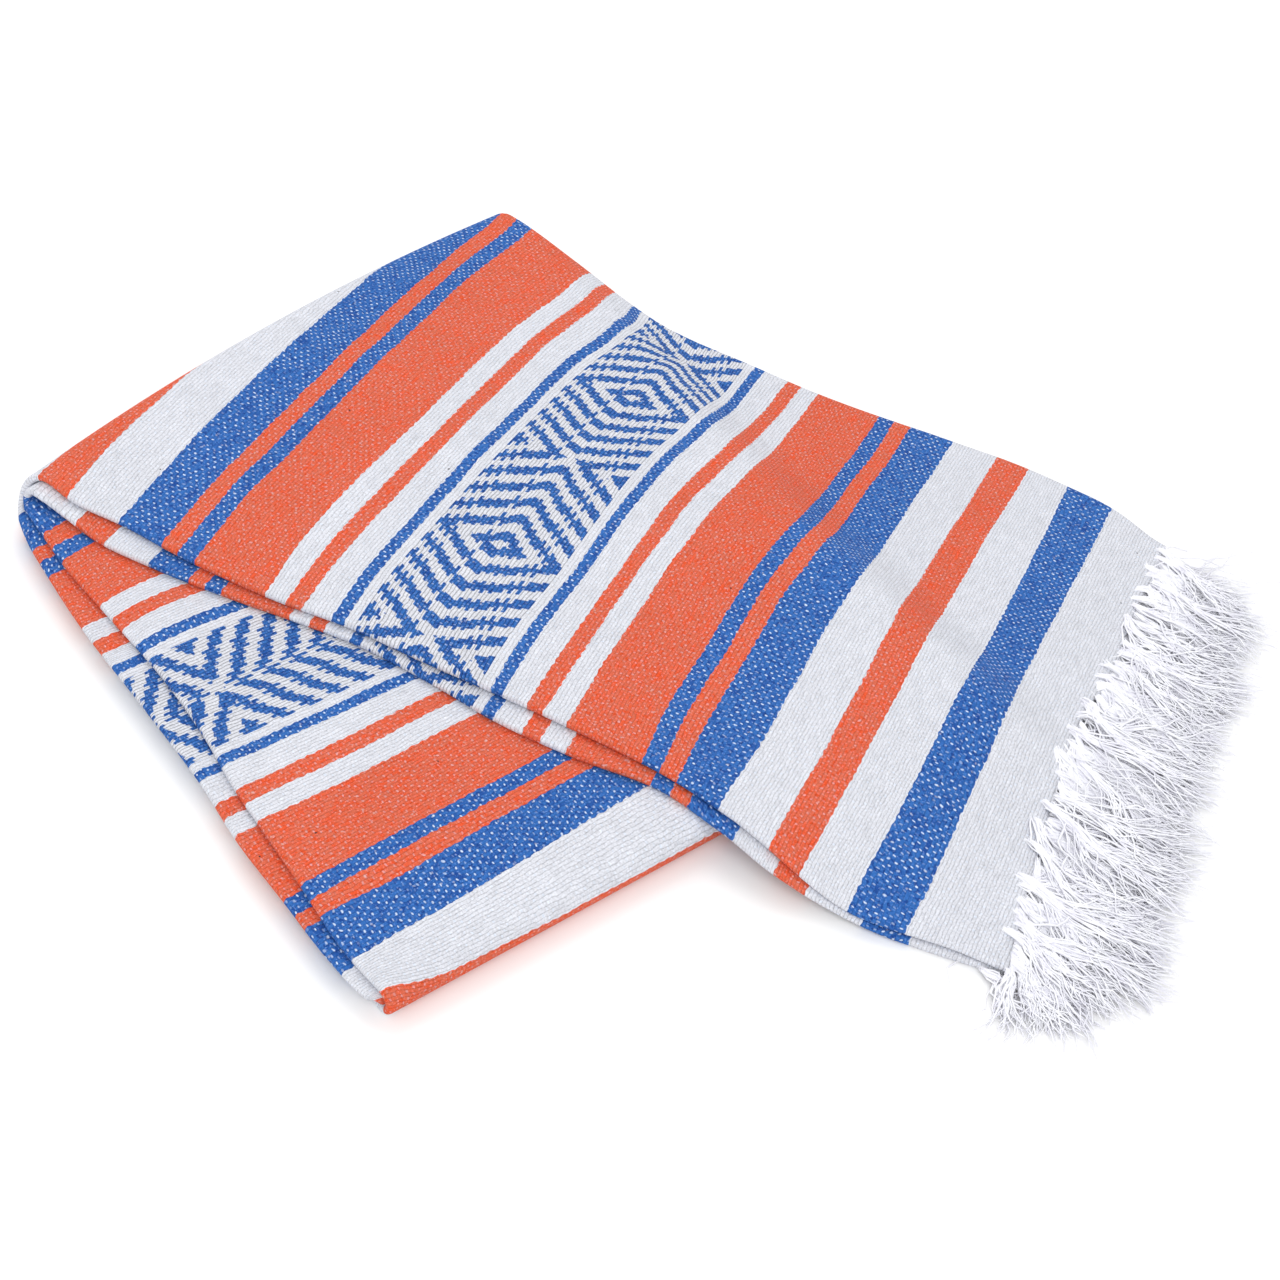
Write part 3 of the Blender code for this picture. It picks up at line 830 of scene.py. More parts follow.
@dataclass(frozen=True)
class Tangle:
    """How unevenly loose threads lie. Lengths are in metres, angles in degrees."""

    place: float = 0.42
    over_share: float = 0.45
    over: Span = (0.0010, 0.0075)
    near_fade: float = 0.060
    lean: float = 19.0
    lean_near: float = 0.35
    hang: float = 11.0
    lock_length: Span = (0.84, 1.10)
    sway: Span = (0.0008, 0.0032)
    sway_waves: Span = (1.2, 2.4)
    twist: float = 2.6
    rest: Span = (0.10, 1.0)
    rest_power: float = 1.3
    curl: float = 0.0060
    curl_hang: float = 0.0125
    thread_length: Span = (0.62, 1.06)
    spread: float = 0.0021
    gather: float = 0.0007
    gather_by: float = 0.20
    open_out: float = 0.0052
    open_power: float = 1.5
    crimp_waves: Span = (2.0, 4.6)
    crimp: Span = (0.0004, 0.0020)
    crimp_grows: Span = (0.35, 0.8)
    crimp_up: Span = (0.5, 0.8)
    flare: float = 0.0045
    flare_from: float = 0.45
    flare_rate: float = 6.0
    flat: float = 0.55
    arch: float = 0.0016
    loose_share: float = 0.24
    loose: float = 27.0
    loose_fade: float = 0.080
    loose_near: float = 0.2
    loose_root: float = 0.25
    over_length: Span = (0.55, 1.0)
    thickness: Span = (0.75, 1.3)
    root_thickness: float = 0.45
    root_share: float = 0.09
    tip_thinner: float = 0.50
    tip_power: float = 2.5


@dataclass
class FringeRow:
    """The loose warp ends of one layer, or of two layers that lie together."""

    name: str
    replaces: str
    strands: int
    low: float
    high: float
    set_back: float
    near_y: float
    far_y: float
    length: float
    pile: float
    seed: int
    plan: FoldPlan = FoldPlan()
    tangle: Tangle = Tangle()
    points: int = 12
    radius: float = 0.00058
    spacing: float = 0.0050
    fall: float = 0.026
    fall_from: float = 1.1
    root_in: float = 0.001
    root_rise: float = 0.0012
    root_length: float = 0.005
    root_blend: float = 0.006
    lowest: float = 0.0008
    turn: Rows = (
        (0.000, -50.0), (0.010, -35.0), (0.022, -21.0), (0.045, -12.0), (0.080, -9.0),
        (0.140, -8.0), (0.200, -8.0), (0.280, -14.0), (0.352, -25.0),
    )
    reach: Rows = (
        (0.000, 0.40), (0.012, 0.64), (0.030, 0.92), (0.060, 1.06), (0.170, 1.08),
        (0.250, 1.00), (0.330, 0.92), (0.352, 0.86),
    )

    def locks(self, rng: np.random.Generator) -> dict[str, Array]:
        """Lays out the soft locks that the threads fall into.

        Args:
            rng: The source of the row's unevenness.

        Returns:
            One array for each property of the locks.
        """
        tangle = self.tangle
        count = int(round((self.far_y - self.near_y) / self.spacing))
        step = (self.far_y - self.near_y) / count
        shift = rng.uniform(-tangle.place, tangle.place, count) * step
        y = self.near_y + step * (np.arange(count) + 0.5) + shift
        over = (rng.random(count) < tangle.over_share) * rng.uniform(*tangle.over, count)
        fade = soft_step(tangle.lean_near + y / tangle.near_fade)
        lean = rng.normal(0.0, tangle.lean, count) * fade
        hang = soft_step(y / tangle.near_fade)
        long = self.length * soft_read(self.reach, y)
        return {
            "y": y,
            "over": over,
            "angle": np.radians(soft_read(self.turn, y) + lean - tangle.hang * hang),
            "long": long * rng.uniform(*tangle.lock_length, count),
            "sway": rng.uniform(*tangle.sway, count),
            "waves": rng.uniform(*tangle.sway_waves, count),
            "phase": rng.uniform(0.0, 2.0 * np.pi, count),
            "twist": rng.uniform(-tangle.twist, tangle.twist, count),
            "rest": rng.uniform(*tangle.rest, count) ** tangle.rest_power * self.pile,
            "curl": rng.normal(0.0, tangle.curl, count) + tangle.curl_hang * hang,
        }

    def paths(self) -> tuple[Array, Array]:
        """Works out every thread's path.

        Returns:
            The points of each thread, and their share of the full thickness.
        """
        rng = np.random.default_rng(self.seed)
        rows, tangle, n = self.locks(rng), self.tangle, self.strands
        own = rng.integers(0, len(rows["y"]), n)
        lock = {key: value[own][:, None] for key, value in rows.items()}
        t = np.linspace(0.0, 1.0, self.points)[None, :]
        ahead = lock["long"] * rng.uniform(*tangle.thread_length, n)[:, None] * t
        side, up = self.offsets(rng, lock, t)
        loose = (rng.random(n) < tangle.loose_share) * rng.normal(0.0, tangle.loose, n)
        loose = loose[:, None] * soft_step(tangle.loose_near + lock["y"] / tangle.loose_fade)
        angle = lock["angle"] + np.radians(loose) * soft_step(tangle.loose_root + t)
        y0 = np.clip(lock["y"], self.near_y, self.far_y)
        start = lock["over"] * rng.uniform(*tangle.over_length, n)[:, None]
        x0 = soft_read(self.plan.woven_end, y0) - self.set_back - self.root_in - start
        x = x0 + ahead * np.cos(angle) - side * np.sin(angle)
        y = y0 + ahead * np.sin(angle) + side * np.cos(angle)
        high = rng.uniform(self.low, self.high, n)[:, None]
        rise = self.root_rise * soft_step(ahead / self.root_length)
        top = np.where(lock["over"] > 0.0, self.high + rise, high)
        top = self.plan.rest_height(x0, y0) + top
        after = np.maximum(0.0, ahead - start * self.fall_from)
        fall = (lock["rest"] + self.lowest - top) * soft_step(after / self.fall)
        z = np.maximum(top + fall + up * soft_step(ahead / self.root_blend), self.lowest)
        points = np.stack([x - self.plan.middle_x, y - self.plan.middle_y, z], axis=-1)
        root = soft_step(t / tangle.root_share) * (1.0 - tangle.root_thickness)
        thick = (1.0 - tangle.tip_thinner * t**tangle.tip_power) * (tangle.root_thickness + root)
        return points, thick * rng.uniform(*tangle.thickness, n)[:, None]

    def offsets(
        self, rng: np.random.Generator, lock: dict[str, Array], t: Array
    ) -> tuple[Array, Array]:
        """Works out how far each thread strays sideways and upwards from its lock's heading.

        Args:
            rng: The source of the row's unevenness.
            lock: Each thread's lock.
            t: Shares of the length.

        Returns:
            Distances sideways and upwards.
        """
        n, tangle = self.strands, self.tangle
        spread = tangle.spread - tangle.gather * soft_step(t / tangle.gather_by)
        spread = spread + tangle.open_out * t**tangle.open_power
        away = np.sqrt(rng.random(n))[:, None] * spread
        around = rng.uniform(0.0, 2.0 * np.pi, n)[:, None] + lock["twist"] * t
        turns = 2.0 * np.pi * lock["waves"] * t
        swing = lock["sway"] * (np.sin(turns + lock["phase"]) - np.sin(lock["phase"]))
        phase = rng.uniform(0.0, 2.0 * np.pi, (n, 2))
        waves = 2.0 * np.pi * rng.uniform(*tangle.crimp_waves, n)[:, None] * t
        base, grow = tangle.crimp_grows
        wide = rng.uniform(*tangle.crimp, n)[:, None] * (base + grow * t)
        past = np.maximum(0.0, t - tangle.flare_from) ** 2 * tangle.flare_rate
        flare = rng.normal(0.0, tangle.flare, n)[:, None] * past
        side = away * np.cos(around) + swing + wide * np.sin(waves + phase[:, :1])
        side = side + flare + lock["curl"] * t**2
        up = tangle.flat * away * np.sin(around) + tangle.arch * np.sin(np.pi * t) ** 2
        share, rate = tangle.crimp_up
        return side, up + share * wide * np.sin(waves * rate + phase[:, 1:])

    def threads(self) -> bpy.types.Mesh:
        """Spins the threads as round cords along their paths.

        Returns:
            Their mesh.
        """
        line = bpy.data.curves.new(self.name, "CURVE")
        line.dimensions = "3D"
        line.bevel_depth = self.radius
        line.bevel_resolution = 0
        line.use_fill_caps = True
        for path, widths in zip(*self.paths()):
            thread = line.splines.new("POLY")
            thread.points.add(self.points - 1)
            ends = np.concatenate([path, np.ones((self.points, 1))], axis=1)
            thread.points.foreach_set("co", ends.astype(np.float32).ravel())
            thread.points.foreach_set("radius", widths.astype(np.float32))
        guide = put_in_scene(self.name + "_guide", line)
        graph = bpy.context.evaluated_depsgraph_get()
        mesh = bpy.data.meshes.new_from_object(guide.evaluated_get(graph))
        bpy.data.objects.remove(guide)
        bpy.data.curves.remove(line)
        mesh.name = self.name
        return mesh

    def build(self, look: Look) -> Piece:
        """Builds the row of threads.

        Args:
            look: The yarn's material.

        Returns:
            The finished piece, riding on the frame.
        """
        piece = dressed(self.name, self.threads(), look)
        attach(piece, "root")
        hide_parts(self.replaces)
        return piece


class Pen:
    """Writes shader nodes in a few words. A value may be a socket, a number or a colour."""

    mix_inputs: tuple[int, int, int] = (0, 6, 7)
    mix_output: int = 2

    def __init__(self, tree: Tree) -> None:
        """Starts on a node tree."""
        self.tree = tree

    def node(self, kind: str, **settings: object) -> Node:
        """Adds a node.

        Args:
            kind: The node's type name, without the words that all of them start with.
            settings: Values for its own properties.

        Returns:
            The node.
        """
        made = self.tree.nodes.new("ShaderNode" + kind)
        for key, value in settings.items():
            setattr(made, key, value)
        return made

    def feed(self, socket: Socket, value: object) -> None:
        """Links an output to a socket, or sets the socket to a number or colour."""
        if isinstance(value, Socket):
            self.tree.links.new(value, socket)
        else:
            socket.default_value = value

    def math(self, operation: str, *values: object, clamp: bool = False) -> Socket:
        """Adds a math node and returns its output."""
        made = self.node("Math", operation=operation, use_clamp=clamp)
        for socket, value in zip(made.inputs, values):
            self.feed(socket, value)
        return made.outputs[0]

    def plus(self, *values: object) -> Socket:
        """Returns the sum of two values."""
        return self.math("ADD", *values)

    def times(self, *values: object) -> Socket:
        """Returns the product of two values."""
        return self.math("MULTIPLY", *values)

    def line(self, value: object, rate: object, start: object, clamp: bool = False) -> Socket:
        """Returns a value times a rate, from a start."""
        return self.math("MULTIPLY_ADD", value, rate, start, clamp=clamp)

    def about(self, value: object, reach: float) -> Socket:
        """Spreads a value that runs from 0 to 1 over a reach about nothing."""
        return self.line(value, reach, -reach / 2.0)

    def blend(self, share: object, low: object, high: object, mode: str = "MIX") -> Socket:
        """Mixes two colours and returns the result."""
        made = self.node("Mix", data_type="RGBA", blend_type=mode)
        for number, value in zip(self.mix_inputs, (share, low, high)):
            self.feed(made.inputs[number], value)
        return made.outputs[self.mix_output]

    def shaded(self, colour: object, shade: object) -> Socket:
        """Returns a colour darkened or lightened by a grey."""
        grey = self.node("CombineColor")
        for socket in list(grey.inputs)[:3]:
            self.feed(socket, shade)
        return self.blend(1.0, colour, grey.outputs[0], "MULTIPLY")

    def window(self, value: object, span: Span, onto: Span = (0.0, 1.0)) -> Socket:
        """Softly maps a span of values onto another and returns the result."""
        made = self.node("MapRange", interpolation_type="SMOOTHSTEP")
        for socket, given in zip(made.inputs, (value, *span, *onto)):
            self.feed(socket, given)
        return made.outputs[0]

    def fill(self, made: Node, **values: object) -> Node:
        """Feeds a node's inputs by their names, and returns the node."""
        for title, value in values.items():
            self.feed(made.inputs[title], value)
        return made

    def grain(self, vector: Socket, scale: float, detail: float = 2.0, rough: float = 0.5) -> Node:
        """Adds a noise texture."""
        made = self.node("TexNoise")
        return self.fill(made, Vector=vector, Scale=scale, Detail=detail, Roughness=rough)

    def noise(self, vector: Socket, *settings: float) -> Socket:
        """Returns the value of a noise texture, given its scale, detail and roughness."""
        return self.grain(vector, *settings).outputs[0]

    def chance(self, *place: object) -> Socket:
        """Returns a random number for each whole number, or each pair of them."""
        if len(place) == 1:
            made = self.fill(self.node("TexWhiteNoise", noise_dimensions="1D"), W=place[0])
        else:
            made = self.node("TexWhiteNoise", noise_dimensions="2D")
            self.fill(made, Vector=self.join(*place))
        return made.outputs[0]

    def shaken(self, vector: Socket, scale: float, reach: Spot) -> Socket:
        """Returns a vector that wanders a little."""
        made = self.node("VectorMath", operation="MULTIPLY_ADD")
        ways = self.grain(vector, scale).outputs["Color"]
        for socket, value in zip(made.inputs, (ways, reach, vector)):
            self.feed(socket, value)
        return made.outputs[0]

    def split(self, vector: Socket) -> tuple[Socket, Socket]:
        """Returns the first two parts of a vector."""
        made = self.node("SeparateXYZ")
        self.feed(made.inputs[0], vector)
        return made.outputs[0], made.outputs[1]

    def join(self, x: object, y: object) -> Socket:
        """Makes a vector of two parts."""
        made = self.node("CombineXYZ")
        for socket, value in zip(made.inputs, (x, y)):
            self.feed(socket, value)
        return made.outputs[0]

    def bump(self, height: Socket, strength: float, distance: float) -> Socket:
        """Turns heights into relief and returns the normal."""
        made = self.fill(self.node("Bump"), Height=height, Strength=strength, Distance=distance)
        return made.outputs[0]


def new_group(name: str, gives: tuple[str, ...]) -> tuple[Tree, Pen, Socket, dict[str, Socket]]:
    """Starts a shader node group that reads the place on the cloth.

    Args:
        name: The group's name.
        gives: Names of its outputs, all numbers.

    Returns:
        The group, a pen on it, its input and the sockets of its outputs.
    """
    group = bpy.data.node_groups.new(name, "ShaderNodeTree")
    group.interface.new_socket("Cloth", in_out="INPUT", socket_type="NodeSocketVector")
    for title in gives:
        group.interface.new_socket(title, in_out="OUTPUT", socket_type="NodeSocketFloat")
    start = group.nodes.new("NodeGroupInput")
    end = group.nodes.new("NodeGroupOutput")
    return group, Pen(group), start.outputs[0], {socket.name: socket for socket in end.inputs}


def new_look(name: str, roughness: float, specular: float) -> tuple[Look, Pen, Node]:
    """Starts a material.

    Args:
        name: Its name.
        roughness: How rough it is.
        specular: How strongly it glints.

    Returns:
        The material, a pen on it and its shader.
    """
    look = bpy.data.materials.new(name)
    look.use_nodes = True
    shader = look.node_tree.nodes["Principled BSDF"]
    shader.inputs["Roughness"].default_value = roughness
    shader.inputs["Specular IOR Level"].default_value = specular
    return look, Pen(look.node_tree), shader


class Yarn(Enum):
    """The weft yarns."""

    WHITE = "white"
    CORAL = "coral"
    BLUE = "blue"


@dataclass(frozen=True)
class StripeLayout:
    """The stripes of half a repeat, from the diamond band's middle to the thin coral stripe's."""

    starts: tuple[tuple[float, Yarn], ...] = (
        (0.0000, Yarn.WHITE), (0.0400, Yarn.BLUE), (0.0465, Yarn.WHITE), (0.0614, Yarn.CORAL),
        (0.0705, Yarn.WHITE), (0.0822, Yarn.CORAL), (0.1239, Yarn.BLUE), (0.1338, Yarn.CORAL),
        (0.1438, Yarn.BLUE), (0.1695, Yarn.WHITE), (0.1996, Yarn.CORAL),
    )
    last_stripe: float = -0.2752
    tooth: float = 0.20
    tooth_back: float = -0.0003
    drift: float = 0.0024
    drift_noise: Span = (28.0, 1.0)
    ragged: float = 0.0016
    ragged_scale: float = 260.0
    diamond_edge: float = 0.0345
    line_step: float = 0.0155
    line_slope: float = 0.70
    line_half: Span = (0.275, 0.225)
    stroke_lean: float = 0.5
    odd_pick: float = 0.0020
    loose_turn: float = 0.0036

    def group(self) -> Tree:
        """Builds the node group that says which yarn shows, as masks.

        Returns:
            The group, with outputs Coral, Blue and Band, which is the band of diamonds.
        """
        group, pen, cloth, ends = new_group("serape_stripes", ("Coral", "Blue", "Band"))
        along, across = pen.split(cloth)
        tooth = pen.math("PINGPONG", across, WARP_STEP / 2)
        tooth = pen.line(tooth, self.tooth, self.tooth_back)
        drift = pen.about(pen.noise(cloth, *self.drift_noise), self.drift)
        ragged = pen.about(pen.noise(cloth, self.ragged_scale), self.ragged)
        beat = pen.plus(pen.plus(along, tooth), pen.plus(drift, ragged))
        masks = self.stripes(pen, pen.math("PINGPONG", beat, HALF_REPEAT))
        kept = pen.math("GREATER_THAN", beat, self.last_stripe)
        band = pen.math("LESS_THAN", pen.math("PINGPONG", along, HALF_REPEAT), self.diamond_edge)
        lines = pen.times(band, self.diamonds(pen, along, across))
        pen.feed(ends["Coral"], pen.times(masks.outputs[0], kept))
        pen.feed(ends["Blue"], pen.times(pen.math("MAXIMUM", masks.outputs[1], lines), kept))
        pen.feed(ends["Band"], band)
        return group

    def stripes(self, pen: Pen, folded: Socket) -> Node:
        """Reads the plain stripes.

        Args:
            pen: The pen on the group.
            folded: Place along half a repeat.

        Returns:
            A node whose first two outputs are the masks of the coral and blue yarns.
        """
        ramp = pen.node("ValToRGB")
        stops = ramp.color_ramp.elements
        ramp.color_ramp.interpolation = "CONSTANT"
        while len(stops) > 1:
            stops.remove(stops[-1])
        stops[0].position = 0.0
        for start, yarn in self.starts:
            stop = stops.new(start / HALF_REPEAT) if start else stops[0]
            stop.color = (float(yarn is Yarn.CORAL), float(yarn is Yarn.BLUE), 0.0, 1.0)
        pen.feed(ramp.inputs[0], pen.math("DIVIDE", folded, HALF_REPEAT))
        masks = pen.node("SeparateColor")
        pen.feed(masks.inputs[0], ramp.outputs[0])
        return masks

    def diamonds(self, pen: Pen, along: Socket, across: Socket) -> Socket:
        """Draws the nested diamonds of the band, one pick at a time.

        Args:
            pen: The pen on the group.
            along: Place along the pattern.
            across: Place across it.

        Returns:
            A mask of the blue picks.
        """
        pick = pen.math("FLOOR", pen.math("DIVIDE", along, PICK))
        middle = pen.times(pen.plus(pick, 0.5), PICK * (1.0 - self.stroke_lean))
        middle = pen.line(along, self.stroke_lean, middle)
        away = pen.math("PINGPONG", middle, HALF_REPEAT)
        odd = pen.about(pen.math("PINGPONG", pick, 1.0), self.odd_pick)
        loose = pen.about(pen.chance(pick), self.loose_turn)
        climb = pen.math("PINGPONG", pen.plus(pen.plus(across, odd), loose), DIAMOND_HALF)
        climb = pen.line(away, self.line_slope, climb)
        phase = pen.math("FRACT", pen.math("DIVIDE", climb, self.line_step))
        return pen.window(pen.math("ABSOLUTE", pen.math("SUBTRACT", phase, 0.5)), self.line_half)


@dataclass(frozen=True)
class Handweave:
    """The relief of a thick weft beaten over a finer white warp."""

    wander: Spot = (0.0020, 0.0040, 0.0)
    wander_scale: float = 130.0
    pick_round: float = 0.28
    float_round: float = 0.9
    plump: Span = (0.75, 0.60)
    dot_along: float = 2.1
    dot_across: float = 10.5
    dot_edge: Span = (1.35, 0.05)
    dot_own: float = 1.05
    patch_scale: float = 60.0
    patch: Span = (0.30, 0.70)
    patch_adds: Span = (-0.15, 0.40)
    # These two spans mark the hollows where the weft dives under the warp, which the cloth darkens
    # as painted shade.
    gap_shade_pick: Span = (0.55, 0.10)
    gap_shade_float: Span = (0.95, 0.35)
    # This span marks the grooves between picks, which the cloth darkens as painted shade in the
    # diamond band.
    groove_shade: Span = (0.70, 0.10)
    fibre: Spot = (900.0, 4.0, 0.75)
    fibre_height: float = 0.80
    warp_height: float = 0.35
    lump_scale: float = 330.0
    lump_height: float = 1.3
    slub_step: float = 0.55
    slub_rate: float = 95.0
    slub: Spot = (1.0, 3.0, 0.6)

    def group(self) -> Tree:
        """Builds the node group of the weave.

        Returns:
            The group, with outputs Height, Warp, Gap, Fibre, Slub and Groove; Gap and Groove mask
            painted shade.
        """
        gives = ("Height", "Warp", "GapShade", "Fibre", "Slub", "GrooveShade")
        group, pen, cloth, ends = new_group("handweave", gives)
        row, cell = self.threads(pen, cloth)
        number = pen.math("FLOOR", row)
        in_row = pen.math("SUBTRACT", pen.math("FRACT", row), 0.5)
        in_cell = pen.math("SUBTRACT", pen.math("FRACT", cell), 0.5)
        weft = pen.math("COSINE", pen.times(in_row, math.pi))
        bulge = pen.math("COSINE", pen.times(in_cell, math.pi))
        warp = pen.times(self.dots(pen, in_row, in_cell), self.shows(pen, cloth, number, cell))
        brick = pen.math("POWER", weft, self.pick_round)
        brick = pen.times(brick, pen.math("POWER", bulge, self.float_round))
        plump = pen.line(pen.chance(number, pen.math("FLOOR", cell)), *self.plump)
        fibre = pen.noise(cloth, *self.fibre)
        height = pen.line(warp, self.warp_height, pen.times(brick, plump))
        height = pen.line(fibre, self.fibre_height, height)
        height = pen.line(pen.noise(cloth, self.lump_scale), self.lump_height, height)
        # Mask of the hollows between picks and floats at the warp ties, used only to paint shade
        # there.
        gap = pen.times(pen.window(weft, self.gap_shade_pick), pen.window(bulge, self.gap_shade_float))
        slub = self.slubs(pen, cloth, number)
        # The last output marks the grooves between picks, which the cloth darkens as painted shade
        # in the band.
        found = (height, warp, gap, fibre, slub, pen.window(weft, self.groove_shade))
        for title, value in zip(gives, found):
            pen.feed(ends[title], value)
        return group

    def threads(self, pen: Pen, cloth: Socket) -> tuple[Socket, Socket]:
        """Counts the picks and the warp ends, which wander a little.

        Args:
            pen: The pen on the group.
            cloth: Place on the cloth.

        Returns:
            The pick and the warp end, as numbers with fractions.
        """
        along, across = pen.split(pen.shaken(cloth, self.wander_scale, self.wander))
        row = pen.math("DIVIDE", along, PICK)
        stagger = pen.times(pen.math("PINGPONG", pen.math("FLOOR", row), 1.0), 0.5)
        return row, pen.plus(pen.math("DIVIDE", across, WARP_STEP), stagger)

    def dots(self, pen: Pen, in_row: Socket, in_cell: Socket) -> Socket:
        """Draws the spots where the white warp comes up between the floats of the weft.

        Args:
            pen: The pen on the group.
            in_row: Place within a pick, about its middle.
            in_cell: Place within a float, about its middle.

        Returns:
            A mask of the spots.
        """
        to_warp = pen.math("SUBTRACT", 0.5, pen.math("ABSOLUTE", in_cell))
        wide = pen.math("POWER", pen.times(to_warp, self.dot_across), 2.0)
        long = pen.math("POWER", pen.times(in_row, self.dot_along), 2.0)
        return pen.window(pen.plus(wide, long), self.dot_edge)

    def shows(self, pen: Pen, cloth: Socket, number: Socket, cell: Socket) -> Socket:
        """Works out how far each spot shows, which differs by spot and by patch of cloth.

        Args:
            pen: The pen on the group.
            cloth: Place on the cloth.
            number: The pick's number.
            cell: The warp end, with fractions.

        Returns:
            A strength from 0 to 1.
        """
        own = pen.chance(number, pen.math("FLOOR", pen.plus(cell, 0.5)))
        patch = pen.window(pen.noise(cloth, self.patch_scale), self.patch, self.patch_adds)
        return pen.line(own, self.dot_own, patch, clamp=True)

    def slubs(self, pen: Pen, cloth: Socket, number: Socket) -> Socket:
        """Returns the yarn's uneven dyeing and thickness, in short runs along each pick."""
        run = pen.times(pen.split(cloth)[1], self.slub_rate)
        return pen.noise(pen.join(pen.times(number, self.slub_step), run), *self.slub)


@dataclass(frozen=True)
class StrayFibres:
    """Small pale neps and a few dark seed specks caught in hand-spun yarn."""

    scales: tuple[tuple[str, Spot], ...] = (
        ("Nep", (120.0, 0.090, 0.45)), ("Seed", (17.0, 0.012, 0.80)),
    )
    ragged: Spot = (0.0016, 0.0016, 0.0)
    ragged_scale: float = 700.0
    core: float = 0.45

    def group(self) -> Tree:
        """Builds the node group, with outputs Nep and Seed."""
        group, pen, cloth, ends = new_group("stray_fibres", ("Nep", "Seed"))
        for title, (scale, size, rare) in self.scales:
            cells = pen.node("TexVoronoi", voronoi_dimensions="2D", feature="F1")
            bent = pen.shaken(cloth, self.ragged_scale, self.ragged)
            pen.fill(cells, Vector=bent, Scale=scale)
            chance = pen.node("SeparateColor")
            pen.feed(chance.inputs[0], cells.outputs["Color"])
            kept = pen.math("GREATER_THAN", chance.outputs[0], rare)
            spot = pen.window(cells.outputs["Distance"], (size, size * self.core))
            pen.feed(ends[title], pen.times(spot, kept))
        return group


